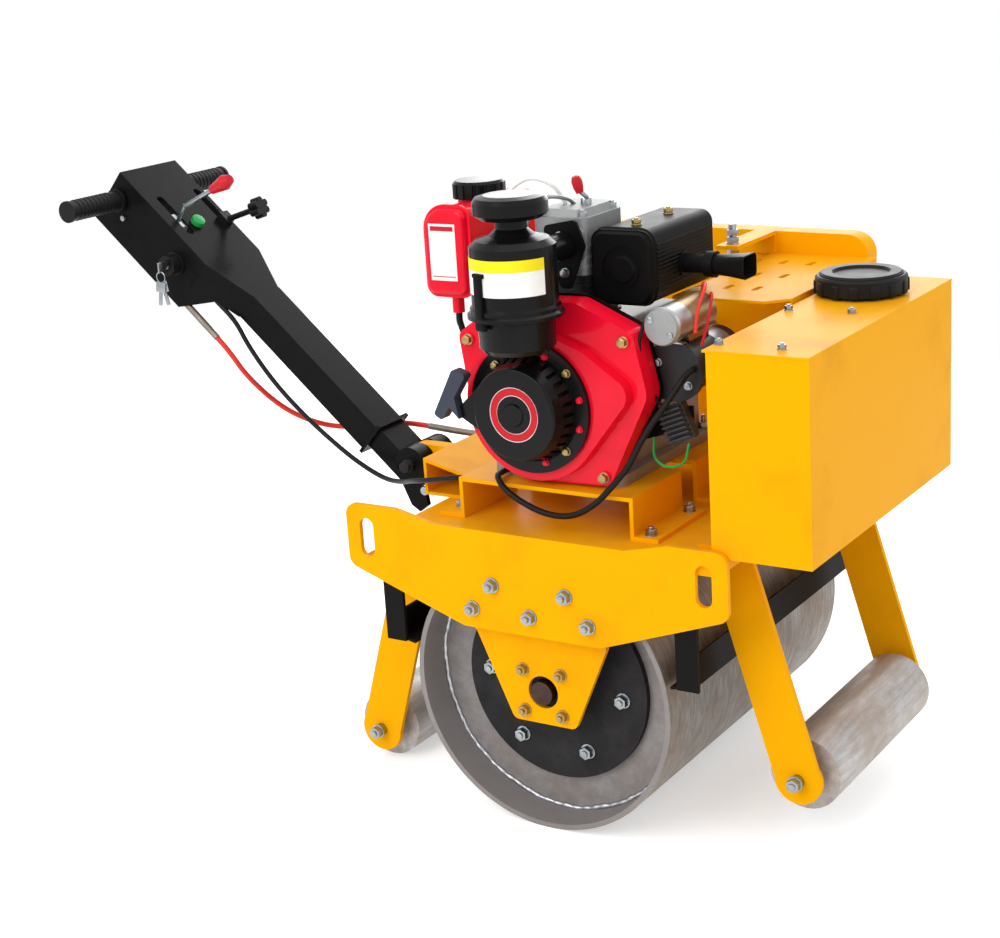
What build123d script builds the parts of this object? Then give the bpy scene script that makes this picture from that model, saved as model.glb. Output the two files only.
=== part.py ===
from build123d import *
from math import atan2, cos, degrees, pi, radians, sin, tan
import os

os.makedirs("parts", exist_ok=True)

# Walk-behind single-drum vibratory roller. Millimetres, +X forward, +Y to the machine's left,
# +Z up. The pieces are drawn with the drum's axle over x = 0 and the ground at z = 0, and
# moved along X on export so that the origin is on the ground under the machine's middle.

# ---------------------------------------------------------------- drum
drum_radius = 212.5
drum_width = 582.0
drum_wall = 8.0
drum_end_inset = 58.0        # from the rim to the welded end plate
end_plate_thickness = 10.0
end_plate_bore_radius = 95.0
hub_radius = 150.0
hub_thickness = 10.0
hub_boss_radius = 46.0
hub_boss_length = 6.0
axle_radius = 18.0
axle_overhang = 6.0          # past the hanger's outer face
axle_z = drum_radius

# ---------------------------------------------------------------- frame
plate_thickness = 8.0
drum_side_gap = 7.0          # rim to side plate
plate_inner_y = drum_width / 2 + drum_side_gap
plate_outer_y = plate_inner_y + plate_thickness
plate_half_length = 315.0
plate_top_z = 474.0
plate_notch_z = 459.0
plate_notch_half = 160.0
plate_notch_run = 65.0
plate_end_bottom_z = 378.0
plate_bottom_z = 308.0
plate_bottom_half = 114.0
plate_corner = 18.0
slot_x = 279.0
slot_z = 423.0
slot_length = 60.0
slot_width = 25.0

deck_top_z = 452.0
deck_rear_x = -220.0
deck_front_x = 300.0

# hanger: a bent plate that carries the drum's bearing inside the drum's open end
hanger_top_z = 392.0
hanger_top_half = 78.0
hanger_wide_half = 118.0
hanger_wide_z = 335.0
hanger_neck_z = 305.0
hanger_bottom_half = 52.0
hanger_bottom_z = axle_z - 50.0
hanger_joggle = 24.0         # how far the lower part steps in
hanger_bore_radius = 25.0
# columns: x, z of the five bolts that hold each hanger
hanger_bolts = [(-61.0, 378.0), (61.0, 378.0), (-96.5, 338.0), (96.5, 338.0), (0.0, 338.0)]
plate_bolt_radius = 6.0
bearing_size = 92.0
bearing_thickness = 16.0
bearing_bolt_offset = 32.0
bearing_bore_clearance = 0.5

# ---------------------------------------------------------------- support rollers and legs
roller_radius = 53.75
roller_half_length = 173.0
roller_wall = 5.0
roller_end_thickness = 8.0
roller_axle_radius = 10.0
roller_bore_clearance = 0.5
front_roller_z = 108.6
rear_roller_z = roller_radius
roller_x = 363.0
leg_inner_y = 192.0
leg_thickness = 8.0
leg_outer_y = leg_inner_y + leg_thickness
leg_width = 72.0
leg_lean = 0.305             # run along X for each unit of drop
leg_drop = deck_top_z - plate_thickness - front_roller_z
collar_radius = 16.0
collar_gap = 2.0
axle_end = 10.0              # past each leg

# ---------------------------------------------------------------- scrapers
scraper_gap = 8.0
scraper_angle = 12.0         # degrees above the axle's level
scraper_leg = 40.0
scraper_thickness = 4.0
scraper_tab_thickness = 6.0
scraper_half_length = plate_inner_y - scraper_tab_thickness
scraper_tab_x, scraper_tab_width = 228.0, 34.0
scraper_tab_z0, scraper_tab_z1 = 262.0, 372.0

# ---------------------------------------------------------------- engine mounts
mount_x = -3.0
mount_half = 145.0
mount_flange = 38.0
mount_thickness = 6.0
mount_top_z = 514.0
# columns: y where each hat channel starts and ends
mount_spans = [(-245.0, -97.0), (-50.0, 98.0)]

# ---------------------------------------------------------------- engine
crank_x = -16.0
crank_z = 632.0
crankshaft_radius = 12.5
base_x0, base_x1 = -112.0, 107.0
base_y0, base_y1 = -206.0, 84.0
base_thickness = 16.0
block_x0, block_x1 = -95.0, 90.0
block_y0, block_y1 = -184.0, 66.0
block_top_z = 728.0
sump_radius = 70.0
shroud_y0, shroud_y1 = -190.0, -184.0
shroud_margin = 3.0
foot_clear_y = base_y0 - 0.5
blower_rim_y = -225.0        # front of the bolted rim
blower_face_y = -242.0       # front of the scroll
blower_taper = 8.0
blower_wall = 3.0
rim_boss_radius = 10.0
# columns: x, z, radius of the circles that the housing's outline is drawn round
upper_circles = [
    (-127.0, 719.0, 19.0),
    (128.0, 732.0, 18.0),
    (122.0, 660.0, 40.0),
    (48.0, 752.0, 32.0),
    (-60.0, 758.0, 24.0),
]
# behind the foot's near edge the housing stands on the foot, in front of it it hangs lower
back_circles = [(crank_x, crank_z, 98.4), (88.0, 548.6, 15.0), *upper_circles]
rim_circles = [(crank_x, crank_z, 117.0), (88.0, 533.0, 15.0), *upper_circles]
rim_bolts = [(-127.0, 719.0), (128.0, 732.0), (88.0, 533.0)]
starter_circles = [(182.0, 684.0, 43.0), (118.0, 676.0, 24.0)]
# columns: x, z, radius of the circles that the raised scroll is drawn round
scroll_circles = [(crank_x, crank_z, 114.0), (112.0, 658.0, 30.0), (60.0, 700.0, 24.0)]
recoil_rim_radius = 96.0
recoil_rim_front_y = -250.0
recoil_wall_radius = 79.0
recoil_face_radius = 66.0
recoil_face_y = -292.0
recoil_bolt_circle = 83.5
recoil_vents = 30
vent_width = 6.0
vent_depth = 5.0
recoil_groove = 2.0
# columns: x, z of the end of the tongue that the rope comes out of
tongue_tip = [(-112.0, 634.0), (-109.0, 617.5)]
grip_y0 = -291.0             # pull grip
grip_thickness = 18.0

cylinder_x = -23.0
cylinder_y = -75.0
barrel_size = 88.0
barrel_top_z = 800.0
head_top_z = 882.0
head_half_x = 45.0
head_half_y = 57.0
rocker_top_z = 893.0
intake_boss = 6.0
intake_flange = 8.0
exhaust_boss = 4.0
exhaust_z = 826.0
fin_count = 6
fin_thickness = 4.0
fin_reach = 4.0

cleaner_x = 3.0
cleaner_y = -298.0
cleaner_radius = 60.0
cleaner_cup_radius = 53.0
cleaner_ring_radius = 67.0
cleaner_z0 = 729.0           # cup bottom
cleaner_cup_top_z = 774.0
cleaner_ring_top_z = 795.0
cleaner_body_top_z = 884.0
cleaner_neck_radius = 22.0
cleaner_neck_top_z = 912.0
precleaner_radius = 52.0
precleaner_top_z = 945.0
intake_radius = 20.0
intake_x = -6.0
intake_z = 846.0
bracket_clearance = 0.2

fuel_x0, fuel_x1 = -232.0, -160.0
fuel_y0, fuel_y1 = -172.0, 34.0
fuel_z0, fuel_z1 = 768.0, 896.0
fuel_shoulder = 34.0
fuel_seam = 5.0              # how far the welded seam stands out
fuel_seam_y = -158.0
fuel_cap_radius = 40.0
fuel_neck_radius = 33.0
fuel_cap_z0, fuel_cap_z1 = 898.0, 924.0
fuel_wall = 2.5
fuel_cap_x, fuel_cap_y = -196.0, -68.0
fuel_outlet_x, fuel_outlet_y = -205.0, -130.0
fuel_outlet_drop = 34.0

muffler_x0, muffler_x1 = 29.0, 126.0
muffler_y0, muffler_y1 = -130.0, 60.0
muffler_z0, muffler_z1 = 762.0, 868.0
muffler_wall = 2.5
muffler_rim = 3.0
muffler_rib_count = 12
muffler_dome = 6.0
outlet_y, outlet_z = -35.0, 806.0
outlet_pipe_radius = 14.0
outlet_boss = 3.0

solenoid_x, solenoid_z = 178.0, 752.0
solenoid_y0, solenoid_y1 = -208.0, -92.0
solenoid_radius = 27.0
starter_x, starter_z = 182.0, 684.0
starter_y0, starter_y1 = -184.0, -40.0
starter_radius = 37.0
starter_flange = 12.0
saddle_y1 = -104.0
regulator_x, regulator_y, regulator_z = 176.0, -172.0, 606.0
regulator_tilt = 22.0
regulator_depth = 14.0
bracket_thickness = 4.0

# ---------------------------------------------------------------- water tank
tank_x0 = 288.0
tank_length = 145.0
tank_y0 = -296.0
tank_y1 = 221.0
tank_z0 = 463.0
tank_height = 282.0
tank_wall = 2.5
lid_thickness = 3.0
lid_overhang = 5.0
fill_radius = 58.0
fill_x, fill_y = 345.0, 92.0
cap_radius = 66.0
cap_height = 29.0

# ---------------------------------------------------------------- belt guard
guard_gap = 15.0             # side plate to guard
guard_y0 = plate_outer_y + guard_gap
guard_depth = 44.0
guard_y1 = guard_y0 + guard_depth
guard_wall = 3.0
# columns: x, z, radius of the circles that the guard is drawn round
guard_circles = [
    (-180.0, 758.0, 34.0),
    (228.0, 754.0, 34.0),
    (222.0, 500.0, 30.0),
    (-176.0, 500.0, 30.0),
    (0.0, axle_z, 84.0),
]
cover_x0, cover_x1 = 100.0, 276.0
cover_y0 = -25.0
cover_z = 750.0
cover_thickness = 4.0
cover_lip = 30.0
cover_chamfer = 30.0

# ---------------------------------------------------------------- handle
pivot_x = -380.0
pivot_z = 452.0
pivot_radius = 29.0
pin_radius = 10.0
lug_thickness = 12.0
lug_gap = 1.0
cross_x0, cross_x1 = -264.0, -190.0
cross_half = 169.0
cross_rear_top_z = 510.0
cross_front_top_z = 492.0
cross_wall = 5.0
arm_half = 35.0
arm_depth = 50.0
arm_wall = 6.0
arm_angle = 41.54            # degrees the arm rises towards the rear
arm_offset = -5.5            # the arm's top face from the pivot, square to the arm
arm_start = 86.0             # along the arm from the pivot
console_half = 70.0
console_wall = 3.0
stop_x, stop_z = -352.0, 412.0
stop_radius = 7.0
claw_y0, claw_y1 = 36.0, 45.0
claw_clearance = 2.6         # round the stop pin, for the claw to swing off it
stop_half = 50.0
console_start = 400.0        # along the arm from the pivot
console_taper_end = 485.0
console_end = 712.0
console_top = -7.0
console_bottom = -111.0
bar_along, bar_drop = 686.0, -47.0
bar_radius = 12.5
bar_half = 193.0
grip_radius = 16.5
grip_length = 120.0
grip_flange = 5.0
grip_clearance = 0.2
# columns: along the arm, y, length and width of the slots in the console's top
console_slots = [(598.0, -38.0, 92.0, 15.0), (600.0, 54.0, 84.0, 15.0)]

key_place = (534.0, -51.0)   # along and square to the arm
switch_size = 24.0
switch_depth = 30.0

# ---------------------------------------------------------------- cables
conduit_radius = 5.5
cable_end_gap = 0.1          # end of a conduit to its cable
arc_share = 0.45
# columns: radius, then x, y, z of each point that the route turns at
cable_routes = {
    "black_cable": (
        4.0,
        [
            (-805.8, -47, 758.42),
            (-780.4, -47, 735.9),
            (-761.6, -45, 705.9),
            (-718, -45, 671),
            (-694, -45, 626),
            (-642, -46, 564),
            (-576, -48, 509),
            (-502, -54, 463),
            (-453, -64, 444),
            (-401, -80, 434),
            (-338, -120, 449),
            (-300, -156, 466),
            (-262, -184, 478),
            (-216, -196, 489),
            (-174, -204, 500),
            (-148, -204, 500),
        ],
    ),
    "throttle_cable": (
        4.5,
        [
            (-747, -61.5, 642),
            (-724.7, -61.5, 621.9),
            (-700, -50, 575),
            (-667, -10, 516),
            (-626, 15, 488),
            (-588, 45, 472),
            (-530, 58, 479),
            (-465, 60, 490.1),
            (-409.1, 60, 487),
        ],
    ),
    "engine_cable": (
        4.5,
        [
            (-86, -206, 522),
            (-86, -226, 522),
            (-80, -246, 524),
            (-63, -261, 514),
            (-35, -264, 497),
            (9, -260, 479),
            (53, -261, 481),
            (90, -259, 503),
            (117, -256, 532),
            (139, -247, 560),
            (152, -238, 590),
            (167, -229, 618),
            (186, -222, 645),
            (205, -214, 675),
            (213, -203, 690),
            (213, -184, 690),
        ],
    ),
    "conduit_front": (conduit_radius, [(-409, 60, 487), (-330, 60, 482.6), (-264, 60, 482.6)]),
}

front, rear = 1, -1
near, far = -1, 1


def handle_plane(y=0.0):
    """A plane square to Y at the pivot: its x runs up the arm, its y square to the arm."""
    lean = radians(arm_angle)
    return Plane(origin=(pivot_x, y, pivot_z), x_dir=(-cos(lean), 0, sin(lean)), z_dir=(0, 1, 0))


def on_handle(along, square, y=0.0):
    """The place of a point given along and square to the arm."""
    return handle_plane(y).from_local_coords((along, square, 0))


def side_plane(y):
    """A plane square to Y that keeps X to the right and Z up, with its normal towards -Y."""
    return Plane(origin=(0, y, 0), x_dir=(1, 0, 0), z_dir=(0, -1, 0))


def rod_plane(start, end):
    """A plane at start whose normal points to end."""
    return Plane(origin=start, z_dir=end - start)


pieces = {}

# ================================================================ drum
with BuildPart() as drum_shell:
    with BuildSketch(side_plane(drum_width / 2)):
        with Locations((0, axle_z)):
            Circle(drum_radius)
            Circle(drum_radius - drum_wall, mode=Mode.SUBTRACT)
    extrude(amount=drum_width)
pieces["drum_shell"] = drum_shell

plate_face_y = drum_width / 2 - drum_end_inset
with BuildPart() as drum_end_plates:
    for side in (near, far):
        with BuildSketch(side_plane(side * plate_face_y)):
            with Locations((0, axle_z)):
                Circle(drum_radius - drum_wall)
                Circle(end_plate_bore_radius, mode=Mode.SUBTRACT)
        extrude(amount=side * end_plate_thickness)
pieces["drum_end_plates"] = drum_end_plates

with BuildPart() as drum_hubs:
    for side in (near, far):
        with BuildSketch(side_plane(side * plate_face_y)):
            with Locations((0, axle_z)):
                Circle(hub_radius)
                Circle(axle_radius, mode=Mode.SUBTRACT)
        extrude(amount=-side * hub_thickness)
        with BuildSketch(side_plane(side * (plate_face_y + hub_thickness))):
            with Locations((0, axle_z)):
                Circle(hub_boss_radius)
                Circle(axle_radius, mode=Mode.SUBTRACT)
        extrude(amount=-side * hub_boss_length)
pieces["drum_hubs"] = drum_hubs

hanger_face_y = plate_inner_y - hanger_joggle
axle_half = hanger_face_y + plate_thickness + axle_overhang
with BuildPart() as drum_axle:
    with BuildSketch(side_plane(axle_half)):
        with Locations((0, axle_z)):
            Circle(axle_radius)
    extrude(amount=2 * axle_half)
pieces["drum_axle"] = drum_axle

# ================================================================ frame
for side, name in ((near, "side_plate_near"), (far, "side_plate_far")):
    with BuildPart() as side_plate:
        with BuildSketch(side_plane(side * plate_inner_y)) as plate_sketch:
            with BuildLine():
                Polyline(
                    (-plate_bottom_half, plate_bottom_z),
                    (plate_bottom_half, plate_bottom_z),
                    (plate_half_length, plate_end_bottom_z),
                    (plate_half_length, plate_top_z),
                    (plate_notch_half + plate_notch_run, plate_top_z),
                    (plate_notch_half, plate_notch_z),
                    (-plate_notch_half, plate_notch_z),
                    (-plate_notch_half - plate_notch_run, plate_top_z),
                    (-plate_half_length, plate_top_z),
                    (-plate_half_length, plate_end_bottom_z),
                    close=True,
                )
            make_face()
            corners = [v for v in plate_sketch.vertices() if abs(v.X) > plate_half_length - 1]
            fillet(corners, radius=plate_corner)
            with Locations((-slot_x, slot_z), (slot_x, slot_z)):
                SlotOverall(slot_length, slot_width, rotation=90, mode=Mode.SUBTRACT)
            with Locations(*hanger_bolts):
                Circle(plate_bolt_radius, mode=Mode.SUBTRACT)
        extrude(amount=-side * plate_thickness)
    pieces[name] = side_plate

with BuildPart() as deck_plate:
    with BuildSketch(Plane.XY.offset(deck_top_z - plate_thickness)):
        with Locations(((deck_rear_x + deck_front_x) / 2, 0)):
            Rectangle(deck_front_x - deck_rear_x, 2 * plate_inner_y)
    extrude(amount=plate_thickness)
pieces["deck_plate"] = deck_plate

for side, name in ((near, "hanger_near"), (far, "hanger_far")):
    flange_y = side * plate_inner_y
    lower_y = side * (hanger_face_y + plate_thickness)
    with BuildPart() as hanger:
        with BuildSketch(Plane.YZ) as bend_sketch:
            with BuildLine() as bend_line:
                Polyline(
                    (flange_y, hanger_top_z),
                    (flange_y, hanger_neck_z + hanger_joggle / 2),
                    (lower_y, hanger_neck_z - hanger_joggle / 2),
                    (lower_y, hanger_bottom_z),
                )
                offset(amount=plate_thickness, side=Side.LEFT if side == near else Side.RIGHT, closed=True)
            make_face()
        extrude(amount=hanger_wide_half, both=True)
        with BuildSketch(Plane.XZ) as face_sketch:
            with BuildLine():
                Polyline(
                    (-hanger_bottom_half, hanger_bottom_z),
                    (hanger_bottom_half, hanger_bottom_z),
                    (hanger_wide_half - 4, hanger_neck_z),
                    (hanger_wide_half, hanger_wide_z),
                    (hanger_top_half, hanger_top_z),
                    (-hanger_top_half, hanger_top_z),
                    (-hanger_wide_half, hanger_wide_z),
                    (-hanger_wide_half + 4, hanger_neck_z),
                    close=True,
                )
            make_face()
            low = [v for v in face_sketch.vertices() if v.Y < hanger_bottom_z + 1]
            fillet(low, radius=12)
            with Locations(*hanger_bolts):
                Circle(plate_bolt_radius, mode=Mode.SUBTRACT)
            with Locations((0, axle_z)):
                Circle(hanger_bore_radius, mode=Mode.SUBTRACT)
        extrude(amount=plate_outer_y, both=True, mode=Mode.INTERSECT)
    pieces[name] = hanger

with BuildPart() as drum_bearings:
    for side in (near, far):
        with BuildSketch(side_plane(side * hanger_face_y)):
            with Locations((0, axle_z)):
                RectangleRounded(bearing_size, bearing_size, 14)
                Circle(axle_radius + bearing_bore_clearance, mode=Mode.SUBTRACT)
        extrude(amount=side * bearing_thickness)
pieces["drum_bearings"] = drum_bearings

# ---------------------------------------------------------------- legs and support rollers
for end, name, roller_z in ((front, "front_legs", front_roller_z), (rear, "rear_legs", rear_roller_z)):
    leg_top_z = roller_z + leg_drop
    top_x = end * (roller_x - leg_lean * leg_drop)
    with BuildPart() as legs:
        for side in (near, far):
            with BuildSketch(side_plane(side * leg_inner_y)):
                with BuildLine():
                    Polyline(
                        (top_x - leg_width / 2, leg_top_z),
                        (top_x + leg_width / 2, leg_top_z),
                        (end * roller_x + leg_width / 2, roller_z),
                        (end * roller_x - leg_width / 2, roller_z),
                        close=True,
                    )
                make_face()
                with Locations((end * roller_x, roller_z)):
                    Circle(leg_width / 2)
                    Circle(roller_axle_radius, mode=Mode.SUBTRACT)
            extrude(amount=-side * leg_thickness)
            with BuildSketch(Plane.XY.offset(leg_top_z - leg_thickness)):
                with Locations((top_x, side * (leg_inner_y + plate_inner_y) / 2)):
                    Rectangle(leg_width, plate_inner_y - leg_inner_y)
            extrude(amount=leg_thickness)
    pieces[name] = legs

for end, name, roller_z in ((front, "front_roller", front_roller_z), (rear, "rear_roller", rear_roller_z)):
    with BuildPart() as roller:
        with BuildSketch(side_plane(roller_half_length)):
            with Locations((end * roller_x, roller_z)):
                Circle(roller_radius)
                Circle(roller_radius - roller_wall, mode=Mode.SUBTRACT)
        extrude(amount=2 * roller_half_length)
        for side in (near, far):
            with BuildSketch(side_plane(side * roller_half_length)):
                with Locations((end * roller_x, roller_z)):
                    Circle(roller_radius)
                    Circle(roller_axle_radius + roller_bore_clearance, mode=Mode.SUBTRACT)
            extrude(amount=side * roller_end_thickness)
    pieces[name] = roller

with BuildPart() as roller_axles:
    for end, roller_z in ((front, front_roller_z), (rear, rear_roller_z)):
        with BuildSketch(side_plane(leg_outer_y + axle_end)):
            with Locations((end * roller_x, roller_z)):
                Circle(roller_axle_radius)
        extrude(amount=2 * (leg_outer_y + axle_end))
        for side in (near, far):
            with BuildSketch(side_plane(side * leg_inner_y)):
                with Locations((end * roller_x, roller_z)):
                    Circle(collar_radius)
                    Circle(roller_axle_radius, mode=Mode.SUBTRACT)
            extrude(amount=side * (leg_inner_y - roller_half_length - collar_gap))
pieces["roller_axles"] = roller_axles

# ---------------------------------------------------------------- scrapers
scraper_radius = drum_radius + scraper_gap
for end, name in ((front, "front_scraper"), (rear, "rear_scraper")):
    lean = radians(scraper_angle)
    edge_plane = Plane(
        origin=(end * scraper_radius * cos(lean), 0, axle_z + scraper_radius * sin(lean)),
        x_dir=(end * cos(lean), 0, sin(lean)),
        z_dir=(0, -end, 0),
    )
    with BuildPart() as scraper:
        with BuildSketch(edge_plane):
            with Locations((scraper_leg / 2, scraper_thickness / 2)):
                Rectangle(scraper_leg, scraper_thickness)
            with Locations((scraper_leg - scraper_thickness / 2, scraper_leg / 2)):
                Rectangle(scraper_thickness, scraper_leg)
        extrude(amount=scraper_half_length, both=True)
        for side in (near, far):
            with BuildSketch(side_plane(side * (plate_inner_y - scraper_tab_thickness))):
                with BuildLine():
                    Polyline(
                        (end * scraper_tab_x, scraper_tab_z0),
                        (end * (scraper_tab_x + scraper_tab_width), scraper_tab_z0),
                        (end * (scraper_tab_x + scraper_tab_width), scraper_tab_z1),
                        (end * scraper_tab_x, scraper_tab_z1),
                        close=True,
                    )
                make_face()
            extrude(amount=-side * scraper_tab_thickness)
    pieces[name] = scraper

# ---------------------------------------------------------------- engine mounts
with BuildPart() as engine_mounts:
    for y0, y1 in mount_spans:
        with BuildSketch(side_plane(y0)):
            with BuildLine():
                Polyline(
                    (mount_x - mount_half - mount_flange, deck_top_z),
                    (mount_x - mount_half + mount_thickness, deck_top_z),
                    (mount_x - mount_half + mount_thickness, mount_top_z - mount_thickness),
                    (mount_x + mount_half - mount_thickness, mount_top_z - mount_thickness),
                    (mount_x + mount_half - mount_thickness, deck_top_z),
                    (mount_x + mount_half + mount_flange, deck_top_z),
                    (mount_x + mount_half + mount_flange, deck_top_z + mount_thickness),
                    (mount_x + mount_half, deck_top_z + mount_thickness),
                    (mount_x + mount_half, mount_top_z),
                    (mount_x - mount_half, mount_top_z),
                    (mount_x - mount_half, deck_top_z + mount_thickness),
                    (mount_x - mount_half - mount_flange, deck_top_z + mount_thickness),
                    close=True,
                )
            make_face()
        extrude(amount=-(y1 - y0))
pieces["engine_mounts"] = engine_mounts

# ================================================================ engine
def hull_of(circles, margin=0.0):
    """The outline drawn tight round some circles, as arcs and the lines that touch them."""
    with BuildSketch(Plane.XY, mode=Mode.PRIVATE) as outline:
        for x, z, radius in circles:
            with Locations((x, z)):
                Circle(radius + margin)
        make_hull()
    return outline.sketch


with BuildPart() as engine_block:
    with BuildSketch(Plane.XY.offset(mount_top_z)):
        with Locations(((base_x0 + base_x1) / 2, (base_y0 + base_y1) / 2)):
            RectangleRounded(base_x1 - base_x0, base_y1 - base_y0, 14)
            with GridLocations(base_x1 - base_x0 - 26, base_y1 - base_y0 - 30, 2, 2):
                Circle(6, mode=Mode.SUBTRACT)
    extrude(amount=base_thickness)
    with BuildSketch(side_plane(block_y1)) as block_sketch:
        with BuildLine():
            Polyline(
                (block_x0, mount_top_z + base_thickness / 2),
                (block_x1, mount_top_z + base_thickness / 2),
                (block_x1, crank_z + 40),
                (block_x1 - 34, block_top_z),
                (block_x0 + 10, block_top_z),
                (block_x0, crank_z + 60),
                close=True,
            )
        make_face()
        upper = [v for v in block_sketch.vertices() if v.Y > crank_z]
        fillet(upper, radius=16)
    extrude(amount=block_y1 - block_y0)
    with BuildSketch(side_plane(block_y1 + 14)):
        with Locations((crank_x, crank_z)):
            Circle(sump_radius)
    extrude(amount=14)
    # the shaft that drives the belts inside the guard
    with BuildSketch(side_plane(guard_y0)):
        with Locations((crank_x, crank_z)):
            Circle(crankshaft_radius)
    extrude(amount=guard_y0 - block_y1 - 14)
pieces["engine_block"] = engine_block

with BuildPart() as cylinder:
    with BuildSketch(Plane.XY.offset(block_top_z)):
        with Locations((cylinder_x, cylinder_y)):
            RectangleRounded(barrel_size, barrel_size, 20)
    extrude(amount=barrel_top_z - block_top_z)
    fin_pitch = (barrel_top_z - block_top_z) / fin_count
    for i in range(fin_count):
        with BuildSketch(Plane.XY.offset(block_top_z + (i + 0.5) * fin_pitch)):
            with Locations((cylinder_x, cylinder_y)):
                RectangleRounded(barrel_size + 2 * fin_reach, barrel_size + 2 * fin_reach, 22)
        extrude(amount=fin_thickness)
pieces["engine_cylinder"] = cylinder

with BuildPart() as cylinder_head:
    with BuildSketch(Plane.XY.offset(barrel_top_z)):
        with Locations((cylinder_x, cylinder_y)):
            RectangleRounded(2 * head_half_x, 2 * head_half_y, 14)
    extrude(amount=head_top_z - barrel_top_z)
    for i in range(3):
        with BuildSketch(Plane.XY.offset(barrel_top_z + 10 + 14 * i)):
            with Locations((cylinder_x, cylinder_y)):
                RectangleRounded(2 * head_half_x + 4, 2 * head_half_y + 4, 16)
        extrude(amount=5)
    with BuildSketch(Plane.XY.offset(head_top_z)):
        with Locations((cylinder_x, cylinder_y)):
            RectangleRounded(2 * head_half_x - 14, 2 * head_half_y - 18, 18)
    extrude(amount=rocker_top_z - head_top_z, taper=20)
    # the bosses that the exhaust and the intake are bolted to
    with BuildSketch(Plane.YZ.offset(cylinder_x + head_half_x)):
        with Locations((cylinder_y, exhaust_z)):
            RectangleRounded(54, 34, 6)
    extrude(amount=exhaust_boss)
    with BuildSketch(side_plane(cylinder_y - head_half_y)):
        with Locations((intake_x, intake_z)):
            RectangleRounded(52, 52, 12)
    extrude(amount=intake_boss)
pieces["cylinder_head"] = cylinder_head

with BuildPart() as fan_shroud:
    with BuildSketch(side_plane(shroud_y1)):
        add(hull_of(back_circles, shroud_margin))
    extrude(amount=shroud_y1 - shroud_y0)
pieces["fan_shroud"] = fan_shroud

with BuildPart() as blower_housing:
    with BuildSketch(side_plane(shroud_y0)):
        add(hull_of(back_circles))
    extrude(amount=shroud_y0 - foot_clear_y)
    with BuildSketch(side_plane(foot_clear_y)):
        add(hull_of(rim_circles))
    extrude(amount=foot_clear_y - blower_rim_y, taper=blower_taper)
    with BuildSketch(side_plane(foot_clear_y)):
        add(hull_of(scroll_circles))
    extrude(amount=foot_clear_y - blower_face_y, taper=blower_taper)
    with BuildSketch(side_plane(shroud_y0)):
        add(hull_of(back_circles, -2 * blower_wall))
    extrude(amount=shroud_y0 - blower_rim_y - blower_wall, mode=Mode.SUBTRACT)
    # bosses for the bolts on the rim
    with BuildSketch(side_plane(foot_clear_y)):
        with Locations(*rim_bolts):
            Circle(rim_boss_radius)
    extrude(amount=foot_clear_y - blower_rim_y + 2)
    with BuildSketch(side_plane(shroud_y0)):
        with Locations((crank_x, crank_z)):
            Circle(recoil_wall_radius - 8)
    extrude(amount=shroud_y0 - blower_face_y, mode=Mode.SUBTRACT)
pieces["blower_housing"] = blower_housing

recoil_wall_taper = degrees(
    atan2(recoil_wall_radius - recoil_face_radius, recoil_rim_front_y - recoil_face_y)
)
with BuildPart() as recoil_starter:
    with BuildSketch(side_plane(blower_face_y)):
        with Locations((crank_x, crank_z)):
            Circle(recoil_rim_radius)
    extrude(amount=blower_face_y - recoil_rim_front_y)
    with BuildSketch(side_plane(recoil_rim_front_y)):
        with Locations((crank_x, crank_z)):
            Circle(recoil_wall_radius)
    extrude(amount=recoil_rim_front_y - recoil_face_y, taper=recoil_wall_taper)
    fillet(recoil_starter.faces().sort_by(Axis.Y)[0].edges(), radius=4)
    # the tongue that the rope comes out of
    with BuildSketch(side_plane(recoil_rim_front_y)):
        with BuildLine():
            Polyline((crank_x - 60, 668), *tongue_tip, (crank_x - 56, 596), close=True)
        make_face()
    extrude(amount=32)
    # vents round the wall
    with BuildSketch(side_plane(recoil_rim_front_y - 4)):
        with Locations((crank_x, crank_z)):
            with PolarLocations(recoil_wall_radius, recoil_vents):
                Rectangle(2 * vent_depth + 6, vent_width)
        with Locations((crank_x - 76, crank_z - 2)):
            Rectangle(50, 84, mode=Mode.SUBTRACT)
    extrude(amount=30, mode=Mode.SUBTRACT)
    # ring groove and hub on the face
    with BuildSketch(side_plane(recoil_face_y)):
        with Locations((crank_x, crank_z)):
            Circle(40)
            Circle(27, mode=Mode.SUBTRACT)
    extrude(amount=-recoil_groove, mode=Mode.SUBTRACT)
    with BuildSketch(side_plane(recoil_face_y)):
        with Locations((crank_x, crank_z)):
            Circle(17)
    extrude(amount=3, taper=30)
    with BuildSketch(side_plane(blower_face_y)):
        with Locations((crank_x, crank_z)):
            Circle(recoil_face_radius - 8)
    extrude(amount=blower_face_y - recoil_face_y - 6, mode=Mode.SUBTRACT)
pieces["recoil_starter"] = recoil_starter

with BuildPart() as starter_grip:
    with BuildSketch(side_plane(grip_y0 + grip_thickness)) as grip_sketch:
        with BuildLine():
            Polyline((-116, 690), (-93, 683), (-138, 613), (-152, 621), close=True)
        make_face()
        fillet(grip_sketch.vertices(), radius=5)
        with BuildLine():
            Polyline((-132, 640), (-118, 662), *tongue_tip, close=True)
        make_face()
    extrude(amount=grip_thickness)
pieces["starter_grip"] = starter_grip

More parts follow.
